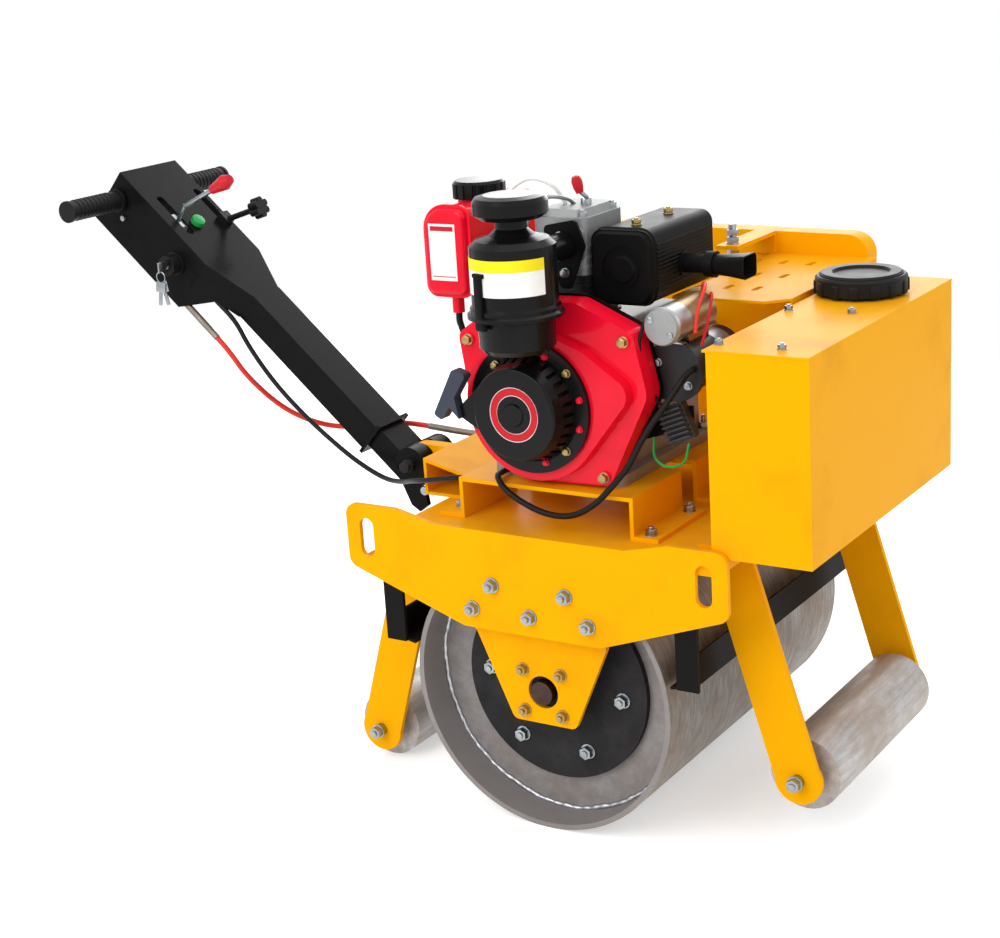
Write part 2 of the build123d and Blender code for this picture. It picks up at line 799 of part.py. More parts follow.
with BuildPart() as air_cleaner:
    with BuildSketch(Plane.XZ.offset(-cleaner_y)):
        with BuildLine():
            Polyline(
                (cleaner_x, cleaner_z0),
                (cleaner_x + cleaner_cup_radius - 6, cleaner_z0),
                (cleaner_x + cleaner_cup_radius, cleaner_z0 + 7),
                (cleaner_x + cleaner_cup_radius + 1, cleaner_cup_top_z),
                (cleaner_x + cleaner_ring_radius, cleaner_cup_top_z + 4),
                (cleaner_x + cleaner_ring_radius, cleaner_cup_top_z + 9),
                (cleaner_x + cleaner_ring_radius - 4, cleaner_cup_top_z + 12),
                (cleaner_x + cleaner_ring_radius - 4, cleaner_ring_top_z - 4),
                (cleaner_x + cleaner_radius, cleaner_ring_top_z),
                (cleaner_x + cleaner_radius, cleaner_body_top_z - 8),
                (cleaner_x + cleaner_radius - 9, cleaner_body_top_z),
                (cleaner_x + cleaner_neck_radius + 10, cleaner_body_top_z + 5),
                (cleaner_x + cleaner_neck_radius, cleaner_body_top_z + 14),
                (cleaner_x + cleaner_neck_radius, cleaner_neck_top_z),
                (cleaner_x, cleaner_neck_top_z),
                close=True,
            )
        make_face()
    revolve(axis=Axis((cleaner_x, cleaner_y, 0), (0, 0, 1)))
pieces["air_cleaner"] = air_cleaner

with BuildPart() as precleaner:
    with BuildSketch(Plane.XZ.offset(-cleaner_y)):
        with BuildLine():
            Polyline(
                (cleaner_x, cleaner_neck_top_z),
                (cleaner_x + precleaner_radius - 9, cleaner_neck_top_z),
                (cleaner_x + precleaner_radius, cleaner_neck_top_z + 7),
                (cleaner_x + precleaner_radius, precleaner_top_z - 10),
                (cleaner_x + precleaner_radius - 4, precleaner_top_z - 4),
                (cleaner_x + precleaner_radius - 16, precleaner_top_z - 1),
                (cleaner_x, precleaner_top_z),
                close=True,
            )
        make_face()
    revolve(axis=Axis((cleaner_x, cleaner_y, 0), (0, 0, 1)))
pieces["precleaner"] = precleaner

intake_start_y = cylinder_y - head_half_y - intake_boss
with BuildPart() as intake_elbow:
    with BuildSketch(side_plane(intake_start_y)):
        with Locations((intake_x, intake_z)):
            RectangleRounded(48, 48, 12)
    extrude(amount=intake_flange)
    with BuildSketch(side_plane(intake_start_y)):
        with Locations((intake_x, intake_z)):
            Circle(intake_radius)
    extrude(amount=intake_start_y - cleaner_y)
    with BuildSketch(Plane.XY.offset(intake_z - 2 * intake_radius)):
        with Locations((cleaner_x, cleaner_y)):
            Circle(cleaner_radius)
    extrude(amount=4 * intake_radius, mode=Mode.SUBTRACT)
pieces["intake_elbow"] = intake_elbow

with BuildPart() as fuel_tank:
    with BuildSketch(side_plane(fuel_y1)) as tank_sketch:
        with Locations(((fuel_x0 + fuel_x1) / 2, (fuel_z0 + fuel_z1) / 2)):
            Rectangle(fuel_x1 - fuel_x0, fuel_z1 - fuel_z0)
        top_rear = tank_sketch.vertices().sort_by(Axis.Y)[-2:].sort_by(Axis.X)[0]
        fillet(top_rear, radius=fuel_shoulder)
        others = [v for v in tank_sketch.vertices() if v.Y < fuel_z0 + 1 or v.X > fuel_x1 - 1]
        fillet(others, radius=14)
    extrude(amount=fuel_y1 - fuel_y0)
    ends = fuel_tank.faces().sort_by(Axis.Y)
    fillet(ends[0].edges() + ends[-1].edges(), radius=8)
    with BuildSketch(Plane.XY.offset(fuel_z1 - 10)):
        with Locations((fuel_cap_x, fuel_cap_y)):
            Circle(fuel_neck_radius)
    extrude(amount=fuel_cap_z0 - fuel_z1 + 10)
    inside = offset(fuel_tank.part, amount=-fuel_wall, mode=Mode.PRIVATE)
    add(inside, mode=Mode.SUBTRACT)
    # welded seam round the tank
    with BuildSketch(side_plane(fuel_seam_y)) as seam_sketch:
        with Locations(((fuel_x0 + fuel_x1) / 2, (fuel_z0 + fuel_z1) / 2)):
            Rectangle(fuel_x1 - fuel_x0 + 2 * fuel_seam, fuel_z1 - fuel_z0 + 2 * fuel_seam)
        seam_top_rear = seam_sketch.vertices().sort_by(Axis.Y)[-2:].sort_by(Axis.X)[0]
        fillet(seam_top_rear, radius=fuel_shoulder + fuel_seam)
        seam_others = [v for v in seam_sketch.vertices() if v.Y < fuel_z0 or v.X > fuel_x1]
        fillet(seam_others, radius=14 + fuel_seam)
        with Locations(((fuel_x0 + fuel_x1) / 2, (fuel_z0 + fuel_z1) / 2)):
            Rectangle(fuel_x1 - fuel_x0 - 40, fuel_z1 - fuel_z0 - 40, mode=Mode.SUBTRACT)
        offset_face = seam_sketch.sketch
    extrude(amount=4)
    with BuildSketch(Plane.XY.offset(fuel_z0 + 4)):
        with Locations((fuel_outlet_x, fuel_outlet_y)):
            Circle(9)
    extrude(amount=-fuel_outlet_drop - 4)
pieces["fuel_tank"] = fuel_tank

with BuildPart() as fuel_cap:
    with BuildSketch(Plane.XY.offset(fuel_cap_z0)):
        with Locations((fuel_cap_x, fuel_cap_y)):
            Circle(fuel_cap_radius)
            with PolarLocations(fuel_cap_radius, 16):
                Circle(3, mode=Mode.SUBTRACT)
    extrude(amount=fuel_cap_z1 - fuel_cap_z0 - 4)
    with BuildSketch(Plane.XY.offset(fuel_cap_z1 - 4)):
        with Locations((fuel_cap_x, fuel_cap_y)):
            Circle(fuel_cap_radius - 1)
    extrude(amount=4, taper=40)
pieces["fuel_cap"] = fuel_cap

muffler_x = (muffler_x0 + muffler_x1) / 2
muffler_z = (muffler_z0 + muffler_z1) / 2
with BuildPart() as muffler:
    with BuildSketch(side_plane(muffler_y1)) as muffler_sketch:
        with Locations((muffler_x, muffler_z)):
            RectangleRounded(muffler_x1 - muffler_x0, muffler_z1 - muffler_z0, 18)
    extrude(amount=muffler_y1 - muffler_y0)
    inside = offset(muffler.part, amount=-muffler_wall, mode=Mode.PRIVATE)
    add(inside, mode=Mode.SUBTRACT)
    # swaged ribs along the open side
    rib_pitch = (muffler_z1 - muffler_z0 - 44) / (muffler_rib_count - 1)
    with BuildSketch(side_plane(muffler_y1 - 10)):
        with Locations((muffler_x1, muffler_z)):
            with GridLocations(0, rib_pitch, 1, muffler_rib_count):
                Circle(1.6)
    extrude(amount=muffler_y1 - muffler_y0 - 24)
    with BuildSketch(Plane.YZ.offset(muffler_x1)):
        with Locations((outlet_y, outlet_z)):
            Circle(outlet_pipe_radius + 5)
    extrude(amount=outlet_boss)
    # the flange that bolts to the cylinder head
    with BuildSketch(Plane.YZ.offset(muffler_x0)):
        with Locations((cylinder_y, exhaust_z)):
            RectangleRounded(50, 30, 6)
    extrude(amount=-(muffler_x0 - cylinder_x - head_half_x - exhaust_boss))
    # domed near end with a pressed ring and a boss
    with BuildSketch(side_plane(muffler_y0 + 8)):
        with Locations((muffler_x, muffler_z)):
            RectangleRounded(
                muffler_x1 - muffler_x0 + 2 * muffler_rim, muffler_z1 - muffler_z0 + 2 * muffler_rim, 24
            )
    extrude(amount=8 + muffler_dome, taper=30)
    with BuildSketch(side_plane(muffler_y0 - muffler_dome)):
        with Locations((muffler_x + 4, muffler_z - 2)):
            Circle(33)
            Circle(25, mode=Mode.SUBTRACT)
    extrude(amount=-2, mode=Mode.SUBTRACT)
    with BuildSketch(side_plane(muffler_y0 - muffler_dome)):
        with Locations((muffler_x + 4, muffler_z - 2)):
            Circle(20)
    extrude(amount=4, taper=35)
pieces["muffler"] = muffler

outlet_x0 = muffler_x1 + outlet_boss
with BuildPart() as exhaust_outlet:
    with BuildSketch(Plane.YZ.offset(outlet_x0)):
        with Locations((outlet_y, outlet_z)):
            Circle(outlet_pipe_radius)
    extrude(amount=49)
    with BuildSketch(Plane.YZ.offset(outlet_x0 + 35)):
        with Locations((outlet_y, outlet_z)):
            Circle(outlet_pipe_radius + 5)
    extrude(amount=14)
    # the flattened tail, open at its end
    with BuildSketch(Plane.YZ.offset(outlet_x0 + 47)):
        with Locations((outlet_y, outlet_z)):
            Circle(outlet_pipe_radius + 1)
    with BuildSketch(Plane.YZ.offset(outlet_x0 + 101)):
        with Locations((outlet_y, outlet_z)):
            RectangleRounded(46, 34, 8)
    loft()
    with BuildSketch(Plane.YZ.offset(outlet_x0 + 51)):
        with Locations((outlet_y, outlet_z)):
            Circle(outlet_pipe_radius - 2)
    with BuildSketch(Plane.YZ.offset(outlet_x0 + 101)):
        with Locations((outlet_y, outlet_z)):
            RectangleRounded(42, 30, 6)
    loft(mode=Mode.SUBTRACT)
pieces["exhaust_outlet"] = exhaust_outlet

with BuildPart() as starter_motor:
    with BuildSketch(side_plane(starter_y0 + starter_flange)):
        add(hull_of(starter_circles))
    extrude(amount=starter_flange)
    with BuildSketch(side_plane(starter_y1)):
        with Locations((starter_x, starter_z)):
            Circle(starter_radius)
    extrude(amount=starter_y1 - starter_y0)
    fillet(starter_motor.faces().sort_by(Axis.Y)[-1].edges(), radius=5)
    # the solenoid and the saddle that it sits in
    with BuildSketch(side_plane(saddle_y1)):
        with Locations((starter_x - 2, (starter_z + solenoid_z) / 2)):
            Rectangle(34, solenoid_z - starter_z)
    extrude(amount=60)
    with BuildSketch(side_plane(solenoid_y1)):
        with Locations((solenoid_x, solenoid_z)):
            Circle(solenoid_radius)
    extrude(amount=solenoid_y1 - solenoid_y0)
    chamfer(starter_motor.faces().sort_by(Axis.Y)[0].edges(), 6)
    with BuildSketch(side_plane(solenoid_y1 + 8)):
        with Locations((solenoid_x + 8, solenoid_z + 4), (solenoid_x - 10, solenoid_z - 6)):
            Circle(4)
    extrude(amount=8)
pieces["starter_motor"] = starter_motor

regulator_plane = Plane(
    origin=(regulator_x, regulator_y, regulator_z),
    x_dir=(cos(radians(regulator_tilt)), 0, sin(radians(regulator_tilt))),
    z_dir=(0, -1, 0),
)
with BuildPart() as regulator:
    with BuildSketch(regulator_plane):
        RectangleRounded(42, 54, 4)
    extrude(amount=-regulator_depth)
    with BuildSketch(regulator_plane):
        with GridLocations(0, 7, 1, 7):
            Rectangle(38, 2.6)
    extrude(amount=9)
pieces["voltage_regulator"] = regulator

with BuildPart() as engine_brackets:
    # under the fuel tank
    with BuildSketch(side_plane(-8)):
        with BuildLine():
            Polyline(
                (fuel_x0 + 12, fuel_z0),
                (block_x0 + 40, fuel_z0),
                (block_x0 + 40, block_top_z),
                (block_x0 + 14, block_top_z),
                (block_x0 + 14, block_top_z + 6),
                (block_x0 + 34, block_top_z + 6),
                (block_x0 + 34, fuel_z0 - 6),
                (fuel_x0 + 12, fuel_z0 - 6),
                close=True,
            )
        make_face()
    extrude(amount=-36)
    # round the intake duct, below the air cleaner
    with BuildSketch(side_plane(intake_start_y - intake_flange)) as bracket_sketch:
        with BuildLine():
            Polyline((-36, 874), (16, 884), (30, 846), (4, 784), (-12, 784), (-38, 840), close=True)
        make_face()
        fillet(bracket_sketch.vertices(), radius=7)
        with Locations((intake_x, intake_z)):
            Circle(intake_radius + bracket_clearance, mode=Mode.SUBTRACT)
    extrude(amount=bracket_thickness)
    # the arm that carries the voltage regulator
    with BuildSketch(side_plane(regulator_y + regulator_depth + bracket_thickness)):
        with BuildLine():
            Polyline((block_x1, 566), (block_x1, 604), (150, 626), (196, 630), (196, 600), (150, 584), close=True)
        make_face()
    extrude(amount=bracket_thickness)
pieces["engine_brackets"] = engine_brackets

# ================================================================ water tank
tank_x1 = tank_x0 + tank_length
tank_z1 = tank_z0 + tank_height
with BuildPart() as water_tank:
    with BuildSketch(Plane.XY.offset(tank_z0)):
        with Locations(((tank_x0 + tank_x1) / 2, (tank_y0 + tank_y1) / 2)):
            Rectangle(tank_length, tank_y1 - tank_y0)
    extrude(amount=tank_height)
    with BuildSketch(Plane.XY.offset(tank_z0 + tank_wall)):
        with Locations(((tank_x0 + tank_x1) / 2, (tank_y0 + tank_y1) / 2)):
            Rectangle(tank_length - 2 * tank_wall, tank_y1 - tank_y0 - 2 * tank_wall)
    extrude(amount=tank_height - tank_wall, mode=Mode.SUBTRACT)
pieces["water_tank"] = water_tank

with BuildPart() as tank_lid:
    with BuildSketch(Plane.XY.offset(tank_z1)):
        with Locations(((tank_x0 + tank_x1) / 2 - lid_overhang / 2, (tank_y0 + tank_y1) / 2)):
            Rectangle(tank_length + lid_overhang, tank_y1 - tank_y0 + 2)
    extrude(amount=lid_thickness)
pieces["tank_lid"] = tank_lid

with BuildPart() as tank_cap:
    with BuildSketch(Plane.XY.offset(tank_z1 + lid_thickness)):
        with Locations((fill_x, fill_y)):
            Circle(fill_radius)
    extrude(amount=5)
    with BuildSketch(Plane.XY.offset(tank_z1 + lid_thickness + 5)):
        with Locations((fill_x, fill_y)):
            Circle(cap_radius)
    extrude(amount=cap_height - 5)
    chamfer(tank_cap.faces().sort_by(Axis.Z)[-1].edges(), 3)
pieces["tank_cap"] = tank_cap

with BuildPart() as tank_brackets:
    with BuildSketch(Plane.XY.offset(deck_top_z)):
        with Locations((320, -230), (320, 150)):
            Rectangle(150, 40)
    extrude(amount=tank_z0 - deck_top_z)
pieces["tank_brackets"] = tank_brackets

# ================================================================ belt guard
with BuildPart() as guard_spacers:
    with BuildSketch(side_plane(guard_y0)):
        with Locations((-200, 452), (200, 452), (0, 440)):
            RectangleRounded(40, 24, 4)
    extrude(amount=guard_gap)
pieces["guard_spacers"] = guard_spacers

with BuildPart() as belt_guard:
    with BuildSketch(side_plane(guard_y1)):
        add(hull_of(guard_circles))
    extrude(amount=guard_depth)
    fillet(belt_guard.faces().sort_by(Axis.Y)[-1].edges(), radius=8)
    with BuildSketch(side_plane(guard_y1 - guard_wall)):
        add(hull_of(guard_circles, -guard_wall))
    extrude(amount=guard_depth - 2 * guard_wall, mode=Mode.SUBTRACT)
pieces["belt_guard"] = belt_guard

with BuildPart() as slotted_cover:
    with BuildSketch(Plane.XY.offset(cover_z)) as cover_sketch:
        with Locations(((cover_x0 + cover_x1) / 2, (cover_y0 + guard_y0) / 2)):
            Rectangle(cover_x1 - cover_x0, guard_y0 - cover_y0)
        front_near = cover_sketch.vertices().sort_by(Axis.Y)[:2].sort_by(Axis.X)[-1]
        chamfer(front_near, cover_chamfer)
        with Locations((152, 55), (152, 150), (152, 250)):
            with GridLocations(46, 0, 3, 1):
                SlotOverall(30, 10, rotation=90, mode=Mode.SUBTRACT)
    extrude(amount=cover_thickness)
    with BuildSketch(Plane.XY.offset(cover_z + cover_thickness)):
        with Locations((cover_x1 - 2, (cover_y0 + cover_chamfer + guard_y0) / 2)):
            Rectangle(4, guard_y0 - cover_y0 - cover_chamfer)
    extrude(amount=-cover_lip)
    # the belt tensioner's strap, on top
    with BuildSketch(Plane.YZ.offset(72)):
        with BuildLine():
            Polyline(
                (guard_y0, 754),
                (guard_y0, 790),
                (178, 790),
                (178, 784),
                (guard_y0 - 6, 784),
                (guard_y0 - 6, 754),
                close=True,
            )
        make_face()
    extrude(amount=36)
    with BuildSketch(Plane.XY.offset(770)):
        with Locations((90, 200)):
            Circle(6)
    extrude(amount=50)
pieces["slotted_cover"] = slotted_cover

# ================================================================ handle mount
with BuildPart() as handle_crossmember:
    with BuildSketch(side_plane(cross_half)):
        with BuildLine():
            Polyline(
                (cross_x0, deck_top_z),
                (cross_x1, deck_top_z),
                (cross_x1, cross_front_top_z),
                (cross_x0, cross_rear_top_z),
                close=True,
            )
        make_face()
        offset(amount=-cross_wall, mode=Mode.SUBTRACT)
    extrude(amount=2 * cross_half)
pieces["handle_crossmember"] = handle_crossmember

with BuildPart() as handle_lug:
    with BuildSketch(side_plane(lug_thickness)) as lug_sketch:
        with BuildLine():
            Polyline(
                (cross_x0, 400),
                (cross_x0, 478),
                (pivot_x, pivot_z + pivot_radius - 2),
                (pivot_x, pivot_z - pivot_radius + 2),
                (pivot_x + 24, 400),
                close=True,
            )
        make_face()
        with Locations((pivot_x, pivot_z)):
            Circle(pivot_radius - 2)
            Circle(pin_radius, mode=Mode.SUBTRACT)
        with Locations((stop_x, stop_z)):
            Circle(stop_radius + 6)
            Circle(stop_radius, mode=Mode.SUBTRACT)
    extrude(amount=2 * lug_thickness)
pieces["handle_lug"] = handle_lug

with BuildPart() as handle_pins:
    with BuildSketch(side_plane(52)):
        with Locations((pivot_x, pivot_z)):
            Circle(pin_radius)
    extrude(amount=104)
    with BuildSketch(side_plane(stop_half)):
        with Locations((stop_x, stop_z)):
            Circle(stop_radius)
    extrude(amount=2 * stop_half)
pieces["handle_pins"] = handle_pins

# ================================================================ handle
with BuildPart() as handle_arm:
    with BuildSketch(handle_plane()):
        with Locations(((arm_start + console_start) / 2, arm_offset - arm_depth / 2)):
            Rectangle(console_start - arm_start, arm_depth)
    extrude(amount=arm_half, both=True)
    with BuildSketch(handle_plane()):
        with Locations(((arm_start + console_start) / 2, arm_offset - arm_depth / 2)):
            Rectangle(console_start - arm_start, arm_depth - 2 * arm_wall)
    extrude(amount=arm_half - arm_wall, both=True, mode=Mode.SUBTRACT)
    with BuildSketch(handle_plane()):
        with Locations((arm_start - 3, arm_offset - arm_depth / 2 + 3)):
            Rectangle(6, arm_depth + 14)
    extrude(amount=arm_half + 6, both=True)
pieces["handle_arm"] = handle_arm

with BuildPart() as handle_knuckles:
    for side in (near, far):
        inner = lug_thickness + lug_gap
        with BuildSketch(side_plane(side * inner)):
            with Locations((pivot_x, pivot_z)):
                Circle(pivot_radius)
        extrude(amount=-side * (claw_y1 - inner))
    with BuildSketch(handle_plane()):
        with Locations((arm_start / 2 - 3, arm_offset - arm_depth / 2 + 6)):
            Rectangle(arm_start - 6, 40)
    extrude(amount=32, both=True)
    # claws that rest against the stop pin and hold the handle up
    for side in (near, far):
        with BuildSketch(side_plane(side * claw_y0)):
            with BuildLine():
                Polyline(
                    (-408, 440),
                    (-382, 384),
                    (-366, 374),
                    (-350, 386),
                    (stop_x, stop_z - 12),
                    (stop_x, stop_z + 12),
                    (-356, 440),
                    (-380, 470),
                    close=True,
                )
            make_face()
            with Locations((stop_x, stop_z)):
                Circle(stop_radius + claw_clearance, mode=Mode.SUBTRACT)
        extrude(amount=-side * (claw_y1 - claw_y0))
    with BuildSketch(side_plane(lug_thickness + lug_gap)):
        with Locations((pivot_x, pivot_z)):
            Circle(pivot_radius + 6)
    extrude(amount=2 * (lug_thickness + lug_gap), mode=Mode.SUBTRACT)
    with BuildSketch(side_plane(60)):
        with Locations((pivot_x, pivot_z)):
            Circle(pin_radius + 0.5)
    extrude(amount=120, mode=Mode.SUBTRACT)
pieces["handle_knuckles"] = handle_knuckles

console_plane = Plane(
    origin=on_handle(0, console_top),
    x_dir=handle_plane().x_dir,
    z_dir=handle_plane().y_dir,
)
conduit_start = on_handle(520.0, -100.0, -console_half + console_wall + conduit_radius)
conduit_end = Vector(*cable_routes["throttle_cable"][1][0])
with BuildPart() as console:
    for inset, depth in ((0, 0), (console_wall, console_wall)):
        with BuildSketch(console_plane.offset(-depth)):
            with BuildLine():
                Polyline(
                    (console_start + inset, -arm_half + inset),
                    (console_taper_end + inset / 2, -console_half + inset),
                    (console_end - inset, -console_half + inset),
                    (console_end - inset, console_half - inset),
                    (console_taper_end + inset / 2, console_half - inset),
                    (console_start + inset, arm_half - inset),
                    close=True,
                )
            make_face()
        extrude(amount=console_bottom - console_top, mode=Mode.SUBTRACT if inset else Mode.ADD)
    with BuildSketch(handle_plane()):
        with BuildLine():
            Polyline(
                (console_start, console_top),
                (console_end, console_top),
                (console_end, console_bottom),
                (console_taper_end + 3, console_bottom),
                (console_start + 42, arm_offset - arm_depth - 2),
                (console_start, arm_offset - arm_depth - 2),
                close=True,
            )
        make_face()
    extrude(amount=console_half, both=True, mode=Mode.INTERSECT)
    for along, y, length, width in console_slots:
        with BuildSketch(console_plane.offset(1)):
            with Locations((along, -y)):
                SlotOverall(length, width)
        extrude(amount=-console_wall - 2, mode=Mode.SUBTRACT)
    with BuildSketch(rod_plane(conduit_start, conduit_end)):
        Circle(conduit_radius)
    extrude(amount=(conduit_end - conduit_start).length, mode=Mode.SUBTRACT)
pieces["console"] = console

bar_x, bar_z = on_handle(bar_along, bar_drop).X, on_handle(bar_along, bar_drop).Z
with BuildPart() as handlebar:
    for side in (near, far):
        with BuildSketch(side_plane(side * console_half)):
            with Locations((bar_x, bar_z)):
                Circle(bar_radius)
        extrude(amount=-side * (bar_half - console_half))
pieces["handlebar"] = handlebar

# the rubber grips pushed over the bar, closed at their outer ends
with BuildPart() as grips:
    for side in (near, far):
        grip_start = bar_half + 4 - grip_length
        with BuildSketch(side_plane(side * grip_start)):
            with Locations((bar_x, bar_z)):
                Circle(grip_radius)
        extrude(amount=-side * grip_length)
        for along in (0.0, grip_length - grip_flange):
            with BuildSketch(side_plane(side * (grip_start + along))):
                with Locations((bar_x, bar_z)):
                    Circle(grip_radius + 3.5 if along == 0 else grip_radius + 1.5)
            extrude(amount=-side * grip_flange)
        with BuildSketch(side_plane(side * grip_start)):
            with Locations((bar_x, bar_z)):
                Circle(bar_radius + grip_clearance)
        extrude(amount=-side * (bar_half - grip_start), mode=Mode.SUBTRACT)
pieces["grips"] = grips

lever_foot = on_handle(588.0, console_top - console_wall - 8, -38.0)
lever_bend = on_handle(590.0, 22.0, -40.0)
lever_tip = on_handle(560.0, 88.0, -44.0)
with BuildPart() as throttle_lever:
    with BuildSketch(handle_plane(-38.0)):
        with Locations((588.0, console_top - console_wall - 8)):
            Rectangle(30, 16)
    extrude(amount=14, both=True)
    with BuildSketch(rod_plane(lever_foot, lever_bend)):
        Circle(4)
    extrude(amount=(lever_bend - lever_foot).length + 2)
    with BuildSketch(rod_plane(lever_bend, lever_tip)):
        Circle(4)
    extrude(amount=(lever_tip - lever_bend).length)
pieces["throttle_lever"] = throttle_lever

with BuildPart() as lever_grip:
    grip_base = rod_plane(lever_bend, lever_tip).offset((lever_tip - lever_bend).length)
    with BuildSketch(grip_base):
        Circle(7)
    with BuildSketch(grip_base.offset(34)):
        Circle(13)
    loft()
    with BuildSketch(grip_base.offset(34)):
        Circle(13)
    extrude(amount=14, taper=20)
pieces["lever_grip"] = lever_grip

knob_foot = on_handle(562.0, console_top, 54.0)
knob_tip = on_handle(524.0, 56.0, 56.0)
knob_reach = (knob_tip - knob_foot).length
with BuildPart() as star_knob:
    knob_plane = rod_plane(knob_foot, knob_tip)
    with BuildSketch(handle_plane(54.0)):
        with Locations((562.0, console_top + 6)):
            Rectangle(22, 12)
    extrude(amount=10, both=True)
    with BuildSketch(knob_plane.offset(4)):
        Circle(5)
    extrude(amount=knob_reach - 4)
    with BuildSketch(knob_plane.offset(knob_reach - 2)):
        Circle(12)
        with PolarLocations(12, 6):
            Circle(6)
    extrude(amount=18)
pieces["star_knob"] = star_knob

with BuildPart() as key_switch:
    for start, radius, length in ((0, 20, 5), (5, 17, 20)):
        with BuildSketch(handle_plane(-console_half - start)):
            with Locations(key_place):
                Circle(radius)
        extrude(amount=-length)
    with BuildSketch(handle_plane(-console_half - 25)):
        with Locations(key_place):
            Rectangle(7, 24)
    extrude(amount=-8)
    with BuildSketch(handle_plane(-console_half + console_wall)):
        with Locations(key_place):
            Rectangle(switch_size, switch_size)
    extrude(amount=switch_depth)
pieces["key_switch"] = key_switch

# ================================================================ cables
with BuildPart() as conduit:
    with BuildSketch(rod_plane(conduit_start, conduit_end)):
        Circle(conduit_radius)
    extrude(amount=(conduit_end - conduit_start).length - cable_end_gap)
pieces["conduit_rear"] = conduit

for name, (radius, points) in cable_routes.items():
    corners = [Vector(*point) for point in points]
    runs = [b - a for a, b in zip(corners, corners[1:])]
    arc_radii = [
        arc_share * min(before.length, after.length) / tan(radians(before.get_angle(after)) / 2)
        for before, after in zip(runs, runs[1:])
    ]
    with BuildPart() as cable:
        with BuildLine():
            path = FilletPolyline(*corners, radius=arc_radii)
        with BuildSketch(Plane(origin=path @ 0, z_dir=path % 0)):
            Circle(radius)
        sweep()
    share = cable.part.volume / (pi * radius**2 * path.length)
    print(name, f"{path.length:.0f} mm, volume share {share:.4f}, radii", [round(r) for r in arc_radii])
    pieces[name] = cable

# ---------------------------------------------------------------- export
rear_x = min(piece.part.bounding_box().min.X for piece in pieces.values())
front_x = max(piece.part.bounding_box().max.X for piece in pieces.values())
shift = Location((-(rear_x + front_x) / 2, 0, 0))
for name, piece in pieces.items():
    solid = piece.part.moved(shift)
    solid.label = name
    export_step(solid, f"parts/{name}.step")
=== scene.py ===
"""A walk-behind road roller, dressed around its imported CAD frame.

Laid out as an add-on: the sizes and colours a user would change are properties, each group of
pieces has an operator, and a panel in the 3D view's sidebar lists them.
"""

import math

import bmesh
import bpy
from mathutils import Matrix, Vector


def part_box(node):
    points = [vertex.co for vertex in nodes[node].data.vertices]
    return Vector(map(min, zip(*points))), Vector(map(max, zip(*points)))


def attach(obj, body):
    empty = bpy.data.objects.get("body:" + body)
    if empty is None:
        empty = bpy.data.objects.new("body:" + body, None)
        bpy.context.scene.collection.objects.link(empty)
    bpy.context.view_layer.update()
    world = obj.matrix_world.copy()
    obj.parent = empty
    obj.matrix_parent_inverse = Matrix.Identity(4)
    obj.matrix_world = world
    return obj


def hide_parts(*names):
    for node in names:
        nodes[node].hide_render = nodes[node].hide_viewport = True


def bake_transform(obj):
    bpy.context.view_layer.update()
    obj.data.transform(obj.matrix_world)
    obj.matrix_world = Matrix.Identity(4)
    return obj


bl_info = {
    "name": "Road Roller Dresser",
    "version": (1, 0, 0),
    "blender": (4, 5, 0),
    "location": "View3D > Sidebar > Roller",
    "description": "Finishes and fits out a walk-behind road roller around its CAD frame",
    "category": "Object",
}

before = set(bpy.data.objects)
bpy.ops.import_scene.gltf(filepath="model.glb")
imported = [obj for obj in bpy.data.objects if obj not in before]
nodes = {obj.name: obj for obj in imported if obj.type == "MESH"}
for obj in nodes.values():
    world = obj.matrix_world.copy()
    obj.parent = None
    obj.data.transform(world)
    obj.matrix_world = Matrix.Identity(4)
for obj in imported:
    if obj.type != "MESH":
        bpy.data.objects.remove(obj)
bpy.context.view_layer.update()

# ---- places
# the drum's axle in the row frame; the other places are counted from it
shell_low, shell_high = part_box("drum_shell")
AXLE = (shell_low + shell_high) / 2

# ways that faces look, and the two sides
NEAR = (0, -1, 0)
FAR = (0, 1, 0)
REAR = (-1, 0, 0)
UP = (0, 0, 1)
SIDES = ((-1, "near"), (1, "far"))

# middles of round parts, in millimetres fore of the axle and above ground
DRUM = (0, 212.5)
FRONT_ROLLER = (363, 108.6)
REAR_ROLLER = (-363, 53.75)
HINGE = (-380, 452)
RECOIL = (-16, 632)
SOLENOID = (178, 752)
MOTOR = (182, 684)


def at(x, y, z):
    """A place in metres from millimetres fore of the axle, left of the middle and above ground."""
    return Vector((AXLE.x + x / 1000, y / 1000, z / 1000))


def by(part, left, fore=0, above=0):
    """A place in metres, left of the middle, by the middle of a round part."""
    return at(part[0] + fore, left, part[1] + above)


# the slope of the handle's arm, and the way square to it
RAKE = math.radians(41.54)
ARM = Vector((-math.cos(RAKE), 0, math.sin(RAKE)))
SQUARE = Vector((ARM.z, 0, -ARM.x))


def on_handle(along, square, y):
    """A place in metres from millimetres along the arm, square to it and left of the middle."""
    return by(HINGE, 0) + ARM * (along / 1000) + SQUARE * (square / 1000) + Vector((0, y / 1000, 0))


# level between the starter's motor and its solenoid, and the plane behind the solenoid's nose
SOLENOID_SPLIT = at(0, 0, 724).z
NOSE_SPLIT = at(0, -166, 0).y


# ---- sizes and colours
def linear(code):
    """An sRGB hex colour as the linear values that Blender's sockets take."""
    levels = [int(code[i : i + 2], 16) / 255 for i in (1, 3, 5)]
    return tuple(v / 12.92 if v <= 0.04045 else ((v + 0.055) / 1.055) ** 2.4 for v in levels) + (1.0,)


def colour_property(name, description, code):
    """A colour that a user picks, with its default given as sRGB hex."""
    return bpy.props.FloatVectorProperty(
        name=name, description=description, subtype="COLOR", size=4, min=0, max=1, default=linear(code)
    )


